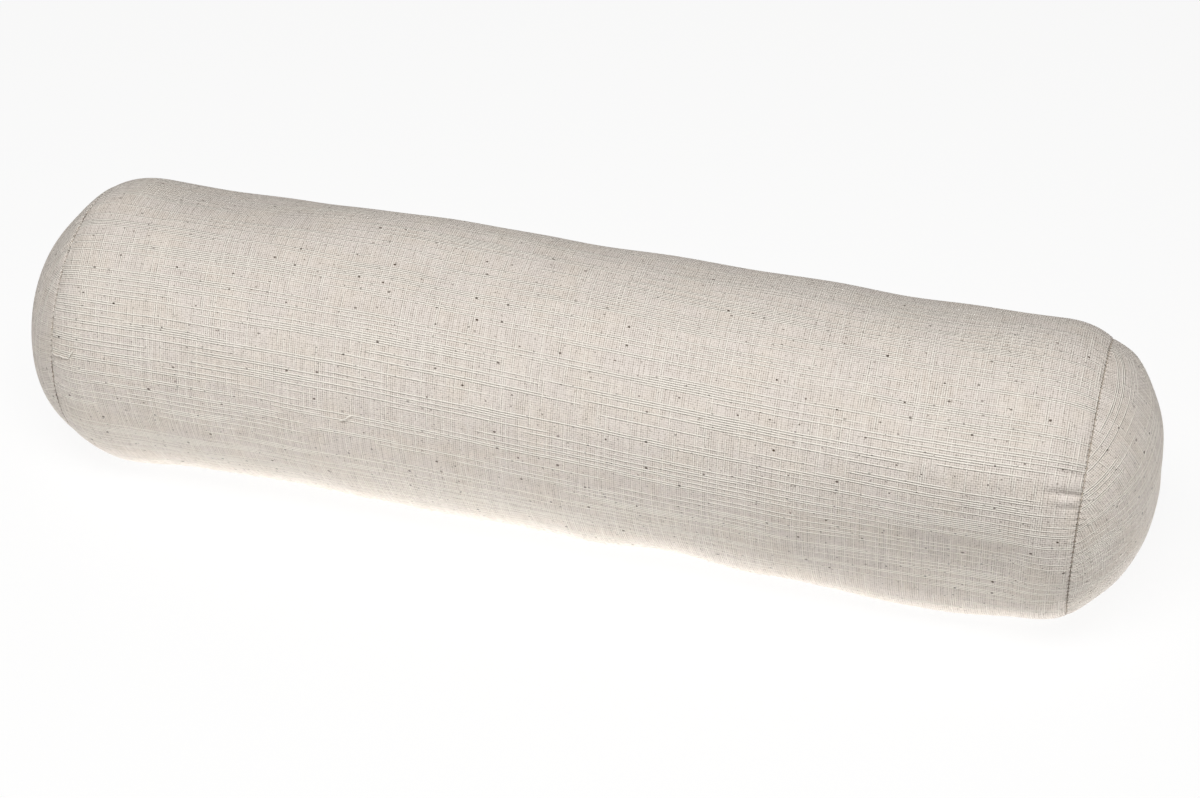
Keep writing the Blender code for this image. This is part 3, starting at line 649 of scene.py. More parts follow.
def slub_canvas():
    """Undyed plain-weave cotton: uneven yarns with slubs, pinholes between them, husk flecks and fuzz.

    The slubs and husk read as unbleached, handwoven cloth. The yarns are drawn 1.5 mm apart and not the
    real 1.4 mm, because finer ones do not show in the render.
    """
    cloth = bpy.context.scene.bolster_cloth
    sewing = bpy.context.scene.bolster_sewing
    paint, tree = new_material("natural_slub_canvas")

    # The cloth's own place, wandering a little as handwoven yarns do
    place = add(tree, "UVMap", uv_map="cloth")[0]
    wander = add(tree, "TexNoise", {"Vector": place, "Scale": 0.02, "Detail": 1.0}, noise_dimensions="2D")
    drift = add(tree, "VectorMath", {0: wander["Color"], 1: (0.5, 0.5, 0.5)}, operation="SUBTRACT")[0]
    drift = add(tree, "VectorMath", {0: drift, "Scale": 0.9}, operation="SCALE")[0]
    laid = add(tree, "VectorMath", {0: place, 1: drift}, operation="ADD")[0]
    split = add(tree, "SeparateXYZ", {0: laid})

    # Plain weave: the two sets of yarns take turns on top
    yarns = woven_yarns(tree, split, cloth.yarn * MM)
    cross, long = yarns
    both = add(tree, "Math", {0: cross["number"], 1: long["number"]}, operation="ADD")[0]
    over = add(tree, "Math", {0: both, 1: 2.0}, operation="FLOORED_MODULO")[0]
    weave = add(tree, "Mix", {0: over, 2: cross["crown"], 3: long["crown"]}, data_type="FLOAT")[0]
    slub, shadow = slubs(tree, split, yarns)

    # Pinholes where four yarns meet, some open and some closed; their darkness in the colour is painted
    # shade
    corner = add(tree, "CombineXYZ", {0: cross["border"], 1: long["border"]})[0]
    luck = add(tree, "TexWhiteNoise", {"Vector": corner}, noise_dimensions="2D")[0]
    luck = add(tree, "MapRange", {"Value": luck, "From Min": 0.35})[0]
    hole = add(tree, "Math", {0: cross["thin"], 1: long["thin"]}, operation="MULTIPLY")[0]
    hole = add(tree, "Math", {0: hole, 1: luck}, operation="MULTIPLY")[0]

    # Each yarn is a little lighter or darker than its neighbours, and the cotton is warmer in places
    shades = [add(tree, "TexWhiteNoise", {"W": yarn["number"]}, noise_dimensions="1D")[0] for yarn in yarns]
    yarn_shade = add(tree, "Mix", {0: over, 2: shades[0], 3: shades[1]}, data_type="FLOAT")[0]
    grain = add(tree, "TexNoise", {"Vector": place, "Scale": 0.9, "Detail": 2.0}, noise_dimensions="2D")[0]
    mottle = add(tree, "TexNoise", {"Vector": place, "Scale": 0.035, "Detail": 3.0}, noise_dimensions="2D")
    span = {"Value": mottle[0], "From Min": 0.4, "From Max": 0.65, "To Max": 0.35}
    warmth = add(tree, "MapRange", span)[0]
    cotton = add(tree, "Mix", {0: warmth, 6: (*cloth.canvas, 1), 7: (*cloth.warm, 1)}, data_type="RGBA")[2]

    # Colour: painted shade between the yarns, in the pinholes and in the slubs' shadows, a painted highlight
    # on the crowns of the yarns on top, and paler on the slubs
    dark = add(tree, "Math", {0: cross["gap"], 1: long["gap"]}, operation="ADD")[0]
    for part, share in ((hole, 0.65), (shadow, 0.34), (weave, -0.10)):
        dark = add(tree, "Math", {0: part, 1: share, 2: dark}, operation="MULTIPLY_ADD")[0]
    dark = add(tree, "Math", {0: dark, 1: 0.145}, operation="ADD", use_clamp=True)[0]
    base = add(tree, "Mix", {0: dark, 6: cotton, 7: (*cloth.shade, 1)}, data_type="RGBA")[2]
    uneven = add(tree, "Math", {0: yarn_shade, 1: grain}, operation="ADD")[0]
    level = add(tree, "MapRange", {"Value": uneven, "From Max": 2.0, "To Min": 0.93, "To Max": 1.07})[0]
    toned = add(tree, "VectorMath", {0: base, "Scale": level}, operation="SCALE")[0]
    raised = add(tree, "Math", {0: slub, 1: 0.84}, operation="MULTIPLY")[0]
    slubbed = add(tree, "Mix", {0: raised, 6: toned, 7: (*cloth.slub, 1)}, data_type="RGBA")[2]
    tinted = flecked(tree, laid, slubbed, cloth.seed)

    # Beside the end seam: painted shade in the seam, its gape and its needle holes
    names = ("seam_away", "seam_along", "seam_open")
    away, along, opening = [add(tree, "Attribute", attribute_name=name)["Fac"] for name in names]
    seam_shade_amount, wave = seam_painted_shade(tree, away, along, opening, sewing.pitch * MM)
    tinted = add(tree, "Mix", {0: seam_shade_amount, 6: tinted, 7: (*sewing.dark, 1)}, data_type="RGBA")[2]

    # Height: weave, slubs, fuzz and pinholes, then what the seam draws
    tall = add(tree, "Math", {0: weave, 1: 0.60}, operation="MULTIPLY")[0]
    for part, share in ((slub, 1.7), (grain, 0.8), (hole, -0.8)):
        tall = add(tree, "Math", {0: part, 1: share, 2: tall}, operation="MULTIPLY_ADD")[0]
    relief = add(tree, "Bump", {"Height": tall, "Distance": 0.00040, "Strength": 0.9})[0]
    relief = seam_relief(tree, relief, away, along, opening, wave)

    sheen = {"Specular_IOR_Level": 0.10, "Sheen_Weight": 0.02, "Sheen_Roughness": 0.45}
    close_material(tree, Base_Color=tinted, Roughness=0.92, Normal=relief, **sheen)
    return paint


def plain_cloth(name, tint, pitch, distance, uneven):
    """Thin plain weave read from the cloth map: pitch in millimetres, a matt, even face."""
    paint, tree = new_material(name)
    place = add(tree, "UVMap", uv_map="cloth")[0]
    split = add(tree, "SeparateXYZ", {0: place})
    profiles = []
    for axis in (0, 1):
        turn = add(tree, "Math", {0: split[axis], 1: math.pi / pitch}, operation="MULTIPLY")[0]
        profiles.append(add(tree, "Math", {0: turn}, operation="SINE")[0])
    weave = add(tree, "Math", {0: profiles[0], 1: profiles[1]}, operation="MULTIPLY")[0]
    mottle = add(tree, "TexNoise", {"Vector": place, "Scale": uneven, "Detail": 3.0}, noise_dimensions="2D")
    both = add(tree, "Math", {0: weave, 1: 0.25, 2: mottle[0]}, operation="MULTIPLY_ADD")[0]
    # Painted shade in the weave's low places, and the mottle's own tone
    return toned_material(paint, tint, both, (0.84, 1.08), distance, Roughness=0.93, Sheen_Weight=0.15)


def spun_thread(name="spun_cotton_thread", tint=None):
    """Two-ply cotton thread: slanting plies about 0.5 mm long and a dull, slightly hairy face."""
    paint, tree = new_material(name)
    place = add(tree, "TexCoord")["Object"]
    rings = {"Vector": place, "Scale": 900.0, "Distortion": 1.5, "Detail": 1.0}
    plies = add(tree, "TexWave", rings, bands_direction="DIAGONAL")["Fac"]
    tint = tint or bpy.context.scene.bolster_sewing.thread
    # Painted shade between the plies
    return toned_material(paint, tint, plies, (0.72, 1.06), 0.00008, Roughness=0.8, Sheen_Weight=0.2)


def woven_tape():
    """Herringbone polyester tape: rows of slanting ribs 0.9 mm apart that turn every 3 mm."""
    paint, tree = new_material("woven_zip_tape")
    place = add(tree, "TexCoord")["Object"]
    turned = add(tree, "Mapping", {"Vector": place, "Rotation": (-ZIP_ELEVATION, 0, 0)})[0]
    split = add(tree, "SeparateXYZ", {0: turned})
    fold = add(tree, "Math", {0: split[2], 1: 0.0030}, operation="PINGPONG")[0]
    slant = add(tree, "Math", {0: split[0], 1: fold}, operation="ADD")[0]
    turn = add(tree, "Math", {0: slant, 1: 2 * math.pi / 0.0009}, operation="MULTIPLY")[0]
    ribs = add(tree, "Math", {0: turn}, operation="SINE")[0]
    tint = bpy.context.scene.bolster_zip.tape
    face = {"Roughness": 0.78, "Sheen_Weight": 0.12}
    # Painted shade between the ribs
    return toned_material(paint, tint, ribs, (0.72, 1.05), 0.00012, lowest=-1.0, **face)


def moulded_acetal():
    """Acetal as it leaves the mould: satin, slightly waxy, with faint flow marks."""
    paint, tree = new_material("moulded_acetal")
    place = add(tree, "TexCoord")["Object"]
    flow = add(tree, "TexNoise", {"Vector": place, "Scale": 700.0, "Detail": 3.0})[0]
    rough = add(tree, "MapRange", {"Value": flow, "To Min": 0.32, "To Max": 0.5})[0]
    tint = bpy.context.scene.bolster_zip.teeth
    face = {"Roughness": rough, "IOR": 1.48, "Subsurface_Weight": 0.05}
    return toned_material(paint, tint, flow, (0.88, 1.06), 0.00003, **face)


def aged_brass():
    """Cast and tumbled brass: brown in cloudy patches, rubbed bright on its edges."""
    paint, tree = new_material("aged_brass")
    place = add(tree, "TexCoord")["Object"]
    cloudy = add(tree, "TexNoise", {"Vector": place, "Scale": 260.0, "Detail": 4.0})
    edges = add(tree, "NewGeometry")["Pointiness"]
    worn = add(tree, "MapRange", {"Value": edges, "From Min": 0.5, "From Max": 0.56})[0]
    patina = add(tree, "MapRange", {"Value": cloudy[0], "From Min": 0.35, "From Max": 0.7})[0]
    base = tuple(bpy.context.scene.bolster_zip.brass)
    dull = add(tree, "Mix", {0: patina, 6: (*linear("#6E5A38"), 1), 7: (*base, 1)}, data_type="RGBA")[2]
    rubbed = add(tree, "Mix", {0: worn, 6: dull, 7: (*linear("#D9BD84"), 1)}, data_type="RGBA")[2]
    rough = add(tree, "MapRange", {"Value": cloudy[0], "To Min": 0.28, "To Max": 0.5})[0]
    fine = add(tree, "TexNoise", {"Vector": place, "Scale": 2600.0, "Detail": 2.0})
    relief = add(tree, "Bump", {"Height": fine[0], "Distance": 0.00002})[0]
    close_material(tree, Base_Color=rubbed, Roughness=rough, Metallic=1.0, Normal=relief)
    return paint


def paint_named(name, make):
    """The material of that name, made the first time that it is asked for."""
    return bpy.data.materials.get(name) or make()


# The cover

def mirrored_rows(half):
    """Values from the middle to one end, as a full row list from end to end."""
    return np.concatenate((-half[:0:-1], half))


def cover_rows():
    """Along X and the extra depth of each mesh row, from the middle to the turned-in edge."""
    step = bpy.context.scene.bolster_cloth.rows
    flat = np.linspace(0, WINDOW_X, int(WINDOW_X / step))
    beyond = np.linspace(WINDOW_X, SEAM_X - 0.018, 11)[1:]
    near = SEAM_X - np.array((0.0155, 0.0132, 0.011, 0.009, 0.0072, 0.0056, 0.0042, 0.003, 0.002, 0.0013))
    along = np.concatenate((flat, beyond, near, SEAM_X - TURNED_EDGE))
    depth = np.concatenate((np.zeros(len(along) - len(TURNED_DEPTH)), TURNED_DEPTH))
    return along, depth


def cover_columns():
    """Turns from the zip, close together beside its window and where the front's folds are."""
    beside = np.array((0.0, 0.0003, 0.0008, 0.0015, 0.0026, 0.0042, 0.0062)) + WINDOW_HALF
    first = np.arctan(beside / ZIP_FACE)
    around = np.linspace(first[-1], 2 * np.pi - first[-1], 322)
    between = (around[1:] + around[:-1]) / 2
    folded = between[np.abs(between - math.radians(128)) < math.radians(10)]
    around = np.sort(np.concatenate((around, folded)))
    return np.concatenate(((0.0,), first[:-1], around, 2 * np.pi - first[:-1][::-1]))


def cover_radius(along, around, away):
    """Outer radius of the dressed cover body."""
    radius = turned_radius(along) + swelling(along, around)
    calm = np.clip((SEAM_X - np.abs(along)) / 0.03, 0, 1) * away_from_zip(around)
    uneven = waves(along, around * BODY_RADIUS, seed=5, count=14, shortest=0.045, longest=0.12)
    radius = radius + BODY_UNEVEN * calm * uneven
    drawn = gathers(away, around + np.sign(along) * GATHER_TURN, seed=11)
    radius = radius + away_from_zip(around) * drawn
    radius = radius + tucks("body", np.sign(along), away, around)
    radius = radius - SEAM_DRAW * np.exp(-away / DRAW_REACH)
    return rests_within(radius, around)


class BOLSTER_OT_cover_body(bpy.types.Operator):
    """Sew the canvas tube with its zip opening and turned-in edges"""

    bl_idname = "bolster.cover_body"
    bl_label = "Cover body"

    def execute(self, context):
        half, deep = cover_rows()
        along = mirrored_rows(half)[:, None]
        depth = np.concatenate((deep[:0:-1], deep))[:, None]
        around = cover_columns()[None, :]
        away = SEAM_X - np.abs(along)
        radius = cover_radius(along, around, away) - depth

        # The hems roll in along the zip, and the closing seams draw a groove beyond its ends
        across = np.abs(turn_between(around, 0)) * ZIP_FACE
        fold = across - WINDOW_HALF
        in_window = np.abs(along) < WINDOW_X + 0.0001
        rolled = np.where(in_window & (fold > -0.0002), np.exp(-np.maximum(fold, 0) / HEM_WIDTH), 0)
        radius = radius - HEM_ROLL * rolled
        groove = CLOSING_DRAW * np.exp(-(across / CLOSING_WIDTH) ** 2)
        radius = radius - np.where(np.abs(along) > WINDOW_X, groove, 0)

        points = place_points(along, around, radius)
        arc = np.append(around[0], 2 * np.pi)[None, :] * BODY_RADIUS
        askew = along - (CLOTH_LEAN - CLOTH_TURN * along) * arc
        bowed = arc - CLOTH_BOW * np.sin(2 * np.pi * (along - BOW_PLACE) / BOW_LENGTH)
        weave = np.stack(np.broadcast_arrays(askew * MM, bowed * MM), -1)
        middle = (along[:-1, 0] + along[1:, 0]) / 2
        left_out = np.zeros((len(along) - 1, around.shape[1]), bool)
        left_out[np.abs(middle) < WINDOW_X, 0] = True
        left_out[np.abs(middle) < WINDOW_X, -1] = True
        values = seam_values(np.sign(along), around, away, depth)
        mesh = grid_mesh("canvas_body", points, weave, values, skipped=left_out)
        obj = piece_from("canvas_body", mesh, paint_named("natural_slub_canvas", slub_canvas))
        thicken(obj, CANVAS)
        attach(obj, "bolster", "canvas", "cover_body")
        return {"FINISHED"}


def cover_end(context, side, name):
    """One round panel: its rows run from the turned-in edge to the pole."""
    first = math.asin(DOME_HIDDEN / DOME_WHOLE)
    turn = first + (np.pi / 2 - first) * np.linspace(0, 1, 60)[1:-1] ** 1.1
    beyond = DOME_WHOLE * np.sin(turn) - DOME_HIDDEN
    beyond = beyond[beyond > 0.0010]
    beyond = np.concatenate((TURNED_EDGE[::-1], beyond))[:, None]
    depth = np.concatenate((TURNED_DEPTH[::-1], np.zeros(len(beyond) - len(TURNED_DEPTH))))[:, None]
    around = np.linspace(0, 2 * np.pi, 340, endpoint=False)[None, :]

    profile = dome_radius(beyond)
    step = np.hypot(np.diff(beyond[:, 0]), np.diff(profile[:, 0]))
    away = np.concatenate(((0,), np.cumsum(step)))[:, None]
    radius = profile - depth - SEAM_DRAW * np.exp(-away / DRAW_REACH)
    radius = radius + gathers(away, around, seed=23 + side) * np.clip(profile / 0.03, 0, 1)
    radius = radius + tucks("end", side, away, around)
    flat = (profile * np.cos(around), profile * np.sin(around))
    uneven = waves(*flat, seed=31 + side, count=12, shortest=0.03, longest=0.09)
    along = side * (SEAM_X + beyond + END_UNEVEN * uneven * np.clip(beyond / 0.01, 0, 1))
    points = place_points(along, around, np.broadcast_to(radius, along.shape))

    # The filling has moved up or down, most in the middle of the dome
    shift = END_SHIFT[side] * bump(np.minimum(beyond - 0.020, 0), 0.020)
    shift = shift * (1 - 0.5 * bump(beyond - DOME_HEIGHT, 0.025))
    points[..., 2] += shift

    # The cloth map is flat round the pole, far from the body's, with the canvas turned as it was cut
    to_pole = (away[-1] + profile[-1] - away) * MM
    cloth = context.scene.bolster_cloth
    cut_turn = cloth.right_turn if side > 0 else cloth.left_turn
    whole = np.append(around[0], 2 * np.pi)[None, :] * side + cut_turn
    middle = (END_CLOTH[0] * side, END_CLOTH[1])
    weave = np.stack((to_pole * np.cos(whole) + middle[0], to_pole * np.sin(whole) + middle[1]), -1)
    pole = (side * (SEAM_X + DOME_HEIGHT), 0, float(points[-1, :, 2].mean()))
    values = seam_values(side, around, away, depth)
    mesh = grid_mesh("canvas_end_" + name, points, weave, values, closed_end=(pole, middle))
    if side < 0:
        mesh.flip_normals()
    obj = piece_from("canvas_end_" + name, mesh, paint_named("natural_slub_canvas", slub_canvas))
    thicken(obj, CANVAS)
    attach(obj, "bolster", "canvas", "cover_end_" + name)


class BOLSTER_OT_cover_ends(bpy.types.Operator):
    """Sew the two domed round panels, their canvas turned against the body's"""

    bl_idname = "bolster.cover_ends"
    bl_label = "Cover ends"

    def execute(self, context):
        for side, name in SIDES:
            cover_end(context, side, name)
        return {"FINISHED"}


# The inner bag and its filling

def inner_skin(name, along, radius, around, paint, pole=None):
    """A skin inside the cover, with a cloth map that follows its arcs."""
    points = place_points(along, around, radius)
    arc = np.append(around[0], 2 * np.pi) * BODY_RADIUS * MM
    run = np.concatenate(((0,), np.cumsum(np.hypot(np.diff(along[:, 0]), np.diff(radius[:, 0]))))) * MM
    weave = np.stack(np.broadcast_arrays(run[:, None], arc[None, :]), -1)
    end = (pole, (float(run[-1]) + 1, 0.0)) if pole is not None else None
    return piece_from(name, grid_mesh(name, points, weave, {}, closed_end=end), paint)


def inside_cover(along, around, depth):
    """The cover's form at a depth, pressed flat where the zip's slider passes."""
    radius = rests_within(turned_radius(along) + swelling(along, around), around) - depth
    from_zip = np.cos(turn_between(around, 0))
    level = TAPE_LEVEL - SLIDER_ROOM - depth + LINING_DEPTH
    slot = np.where(from_zip > 0.9, level / np.maximum(from_zip, 0.9), 1)
    return np.minimum(radius, slot)


def close_tube(obj):
    """Close the two open ends of a tube with a flat face each."""
    work = bmesh.new()
    work.from_mesh(obj.data)
    open_edges = [edge for edge in work.edges if edge.is_boundary]
    bmesh.ops.holes_fill(work, edges=open_edges)
    bmesh.ops.recalc_face_normals(work, faces=work.faces)
    work.to_mesh(obj.data)
    work.free()


class BOLSTER_OT_inner_bag(bpy.types.Operator):
    """Fill the inner bag: lining tube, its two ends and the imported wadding"""

    bl_idname = "bolster.inner_bag"
    bl_label = "Inner bag"

    def execute(self, context):
        cloth = context.scene.bolster_cloth
        thin = {"pitch": 0.8, "distance": 0.00010, "uneven": 0.08}
        thick = {"pitch": 6.0, "distance": 0.0008, "uneven": 0.5}
        lining = plain_cloth("plain_cotton_lining", cloth.lining, **thin)
        wadding = plain_cloth("packed_cotton_wadding", cloth.wadding, **thick)
        around = np.linspace(0, 2 * np.pi, 96, endpoint=False)[None, :]

        reach = np.linspace(-TUBE_X, TUBE_X, 90)[:, None]
        radius = inside_cover(reach, around, LINING_DEPTH)
        radius = radius - TUBE_DRAW * np.clip((np.abs(reach) - TUBE_DRAW_X) / TUBE_DRAW_LENGTH, 0, 1)
        body = inner_skin("lining_body", reach, radius, around, lining)
        thicken(body, LINING)
        attach(body, "bolster", "lining", "liner_body")

        first = math.asin(DOME_HIDDEN / DOME_WHOLE)
        turn = np.linspace(first, np.pi / 2, 20)[1:-1]
        beyond = DOME_WHOLE * np.sin(turn) - DOME_HIDDEN
        for side, name in SIDES:
            along = side * np.concatenate((LINING_RIM_X, SEAM_X + beyond - LINING_DEPTH))
            profile = np.concatenate((LINING_RIM_RADIUS, dome_radius(beyond) - LINING_DEPTH - LINING_SLACK))
            radius = np.broadcast_to(profile[:, None], (len(profile), around.shape[1]))
            pole = (side * (SEAM_X + DOME_HEIGHT - LINING_DEPTH), 0, AXIS_HEIGHT)
            end = inner_skin("lining_end_" + name, along[:, None], radius, around, lining, pole)
            if side < 0:
                end.data.flip_normals()
            thicken(end, LINING)
            attach(end, "bolster", "lining", "liner_end_" + name)

        straight = np.linspace(-SEAM_X + 0.02, SEAM_X - 0.02, 60)
        rounded = SEAM_X + beyond - LINING_DEPTH - WADDING_SLACK
        along = np.concatenate((-rounded[::-1], straight, rounded))[:, None]
        domed = (dome_radius(beyond) - WADDING_END_DEPTH)[:, None]
        ends = np.broadcast_to(domed, (len(beyond), around.shape[1]))
        middle = inside_cover(straight[:, None], around, WADDING_DEPTH + LINING_SLACK)
        radius = np.concatenate((ends[::-1], middle, ends))
        filling = inner_skin("cotton_wadding", along, radius, around, wadding)
        close_tube(filling)
        attach(filling, "bolster", "filling", "filling")
        return {"FINISHED"}


# Sewing

def node_group(name, **sockets):
    """A Geometry Nodes group that takes a path and the named sockets, and its input node's outputs."""
    tree = bpy.data.node_groups.new(name, "GeometryNodeTree")
    kinds = {"Geometry": "Geometry", **sockets}
    for key, kind in kinds.items():
        tree.interface.new_socket(key, in_out="INPUT", socket_type="NodeSocket" + kind)
    tree.interface.new_socket("Geometry", in_out="OUTPUT", socket_type="NodeSocketGeometry")
    return tree, add(tree, "NodeGroupInput")


def repeat_on_path(tree, given, paint, **inputs):
    """Put an instance at every pitch along the path, make them real and paint them."""
    path = add(tree, "GeometryNodeMeshToCurve", {0: given["Geometry"]})[0]
    spaced = {"Curve": path, "Length": given["Pitch"]}
    points = add(tree, "GeometryNodeResampleCurve", spaced, mode="LENGTH")[0]
    row = add(tree, "GeometryNodeInstanceOnPoints", {"Points": points, **inputs})[0]
    real = add(tree, "GeometryNodeRealizeInstances", {0: row})[0]
    shaded = add(tree, "GeometryNodeSetMaterial", {0: real, "Material": paint})[0]
    add(tree, "NodeGroupOutput", {0: shaded})
    return tree


def stitch_tree():
    """Lay one thread stitch after another along a path, each over its own bit of cloth."""
    kinds = {"Pitch": "Float", "Length": "Float", "Thickness": "Float", "Lift": "Float"}
    tree, given = node_group("Stitches", **kinds, Seed="Int", Thread="Material")

    half = add(tree, "Math", {0: given["Length"], 1: 0.5}, operation="MULTIPLY")[0]
    back = add(tree, "Math", {0: half, 1: -1.0}, operation="MULTIPLY")[0]
    sunk = add(tree, "Math", {0: given["Thickness"], 1: -0.9}, operation="MULTIPLY")[0]
    start = add(tree, "CombineXYZ", {0: back, 2: sunk})[0]
    top = add(tree, "CombineXYZ", {2: given["Lift"]})[0]
    end = add(tree, "CombineXYZ", {0: half, 2: sunk})[0]
    bend = {"Resolution": 7, "Start": start, "Middle": top, "End": end}
    arc = add(tree, "GeometryNodeCurveQuadraticBezier", bend)[0]
    radius = add(tree, "Math", {0: given["Thickness"], 1: 0.5}, operation="MULTIPLY")[0]
    ring = add(tree, "GeometryNodeCurvePrimitiveCircle", {"Resolution": 7, "Radius": radius})[0]
    tube = {"Curve": arc, "Profile Curve": ring, "Fill Caps": True}
    stitch = add(tree, "GeometryNodeCurveToMesh", tube)[0]

    # Each stitch faces outwards and follows the path, a little askew and uneven in size
    outward = add(tree, "GeometryNodeInputNamedAttribute", {"Name": "outward"}, data_type="FLOAT_VECTOR")[0]
    tangent = add(tree, "GeometryNodeInputTangent")[0]
    faced = add(tree, "FunctionNodeAlignRotationToVector", {"Vector": outward}, axis="Z")[0]
    follow = {"Rotation": faced, "Vector": tangent}
    laid = add(tree, "FunctionNodeAlignRotationToVector", follow, axis="X", pivot_axis="Z")[0]
    chances = []
    for least, most in (((0.0, -0.02, -0.10), (0.0, 0.02, 0.10)), ((0.9, 0.9, 0.85), (1.06, 1.1, 1.1))):
        span = {0: least, 1: most, "Seed": given["Seed"]}
        chances.append(add(tree, "FunctionNodeRandomValue", span, data_type="FLOAT_VECTOR")[0])
    slant = add(tree, "FunctionNodeEulerToRotation", {0: chances[0]})[0]
    askew = {"Rotation": laid, "Rotate By": slant}
    turned = add(tree, "FunctionNodeRotateRotation", askew, rotation_space="LOCAL")[0]
    return repeat_on_path(tree, given, given["Thread"], Instance=stitch, Rotation=turned, Scale=chances[1])


def set_inputs(modifier, **values):
    """Set a Geometry Nodes modifier's inputs by their sockets' identifiers."""
    for item in modifier.node_group.interface.items_tree:
        if item.in_out == "INPUT" and item.name in values:
            modifier[item.identifier] = values[item.name]


def stitched(name, node, paths, closed=False, **values):
    """A row of stitches along each path, for the frame's thread of that node.

    A path is a list of (point, outward direction).
    """
    sewing = bpy.context.scene.bolster_sewing
    mesh = bpy.data.meshes.new(name)
    vertices = []
    edges = []
    outward = []
    for path in paths:
        start = len(vertices)
        vertices += [tuple(point) for point, _ in path]
        outward += [tuple(direction) for _, direction in path]
        edges += [(start + i, start + i + 1) for i in range(len(path) - 1)]
        if closed:
            edges.append((start + len(path) - 1, start))
    mesh.from_pydata(vertices, edges, [])
    attribute = mesh.attributes.new("outward", "FLOAT_VECTOR", "POINT")
    attribute.data.foreach_set("vector", np.array(outward, np.float32).ravel())
    thread = paint_named("spun_cotton_thread", spun_thread)
    obj = put(name, mesh)
    modifier = obj.modifiers.new("Stitches", "NODES")
    modifier.node_group = bpy.data.node_groups.get("Stitches") or stitch_tree()
    chosen = {
        "Pitch": sewing.pitch,
        "Length": 0.78 * sewing.pitch,
        "Thickness": sewing.thickness,
        "Lift": sewing.thickness,
        "Seed": len(vertices),
        "Thread": thread,
    }
    chosen.update(values)
    set_inputs(modifier, **chosen)
    settle(obj)
    obj.data.shade_smooth()
    attach(obj, "bolster", "thread", node)


def ring_path(along, radius):
    """A path round the bolster for its stitches, from the zip over the top."""
    path = []
    for i in range(RING_POINTS):
        turn = 2 * math.pi * i / RING_POINTS + ZIP_ELEVATION
        outward = Vector((0, math.cos(turn), math.sin(turn)))
        path.append((Vector((along, 0, AXIS_HEIGHT)) + outward * radius, outward))
    return path


class BOLSTER_OT_end_seams(bpy.types.Operator):
    """Sew the seams round the ends of the cover and of the inner bag"""

    bl_idname = "bolster.end_seams"
    bl_label = "End seams"

    def execute(self, context):
        sunk = {"closed": True, "Lift": SUNK_LIFT}
        for side, name in SIDES:
            cover = [ring_path(side * SEAM_X, SEAM_RADIUS - END_SEAM_DEPTH)]
            stitched("end_stitches_" + name, "end_seam_thread_" + name, cover, **sunk)
            inner = [ring_path(side * LINING_SEAM_X, SEAM_RADIUS)]
            stitched("lining_stitches_" + name, "liner_seam_thread_" + name, inner, **sunk)
        return {"FINISHED"}


class BOLSTER_OT_loose_threads(bpy.types.Operator):
    """Lay the loose thread ends on the cover"""

    bl_idname = "bolster.loose_threads"
    bl_label = "Loose threads"

    def execute(self, context):
        thickness = 1.7 * context.scene.bolster_sewing.thickness
        curve = bpy.data.curves.new("loose_threads", "CURVE")
        curve.dimensions = "3D"
        curve.bevel_depth = thickness / 2
        curve.bevel_resolution = 2
        for places in LOOSE_THREADS:
            spline = curve.splines.new("NURBS")
            spline.points.add(len(places) - 1)
            spline.order_u = 3
            spline.use_endpoint_u = True
            for index, (along, turn) in enumerate(places):
                around = np.array(math.radians(turn))
                away = abs(SEAM_X - abs(along))
                lift = 0.6 + 2.2 * math.sin(math.pi * index / (len(places) - 1))
                radius = cover_radius(np.array(along), around, away) + lift * thickness
                point = spline.points[index]
                point.co = (*place_points(np.array(along), around, radius), 1)
        obj = put("loose_threads", curve)
        graph = context.evaluated_depsgraph_get()
        mesh = bpy.data.meshes.new_from_object(obj.evaluated_get(graph))
        bpy.data.objects.remove(obj, do_unlink=True)
        bleached = spun_thread("loose_cotton_yarn", context.scene.bolster_cloth.slub)
        piece = piece_from("loose_threads", mesh, bleached)
        attach(piece, "bolster", "thread")
        return {"FINISHED"}


class BOLSTER_OT_zip_sewing(bpy.types.Operator):
    """Sew the zip in: two rows beside it, a tack across each end, and the closing seams"""

    bl_idname = "bolster.zip_sewing"
    bl_label = "Zip sewing"

    def execute(self, context):
        outward = zip_point(0, 0, 1) - zip_point(0, 0, 0)
        face = ZIP_FACE - TAPE_LEVEL
        for side, name in ROWS:
            ends = [-WINDOW_X, WINDOW_X]
            row = [(zip_point(x, side * STITCH_ACROSS, face), outward) for x in ends]
            stitched("zip_stitches_" + name, "zip_thread_" + name, [row], **ROW_STITCH)
        for side, name in SIDES:
            bars = []
            for i in range(TACK_BARS):
                x = side * (WINDOW_X + TACK_START + TACK_LENGTH * i / (TACK_BARS - 1))
                bars.append([(zip_point(x, y, face), outward) for y in (-TACK_WIDTH / 2, TACK_WIDTH / 2)])
            stitched("zip_tack_stitches_" + name, "zip_tack_" + name, bars, **TACK_STITCH)
            seam = []
            for x in np.linspace(WINDOW_X + 0.004, SEAM_X - 0.002, 14):
                level = float(turned_radius(np.array(x))) * FACET_SHARE - TAPE_LEVEL - CLOSING_DEPTH
                seam.append((zip_point(side * x, 0, level), outward))
            stitched("closing_stitches_" + name, "closing_thread_" + name, [seam])
        low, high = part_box("liner_closing_thread")
        middle = (low + high) / 2
        row = [(Vector((x, middle.y, middle.z)), outward) for x in (low.x, high.x)]
        short = {"Lift": SUNK_LIFT, "Length": SHORT_STITCH}
        stitched("lining_closing_stitches", "liner_closing_thread", [row], **short)
        return {"FINISHED"}


# The zip

def tooth_tree():
    """Repeat one tooth along the tape's edge."""
    tree, given = node_group("Zip teeth", Tooth="Object", Pitch="Float", Acetal="Material")
    tooth = add(tree, "GeometryNodeObjectInfo", {"Object": given["Tooth"]})["Geometry"]
    return repeat_on_path(tree, given, given["Acetal"], Instance=tooth)


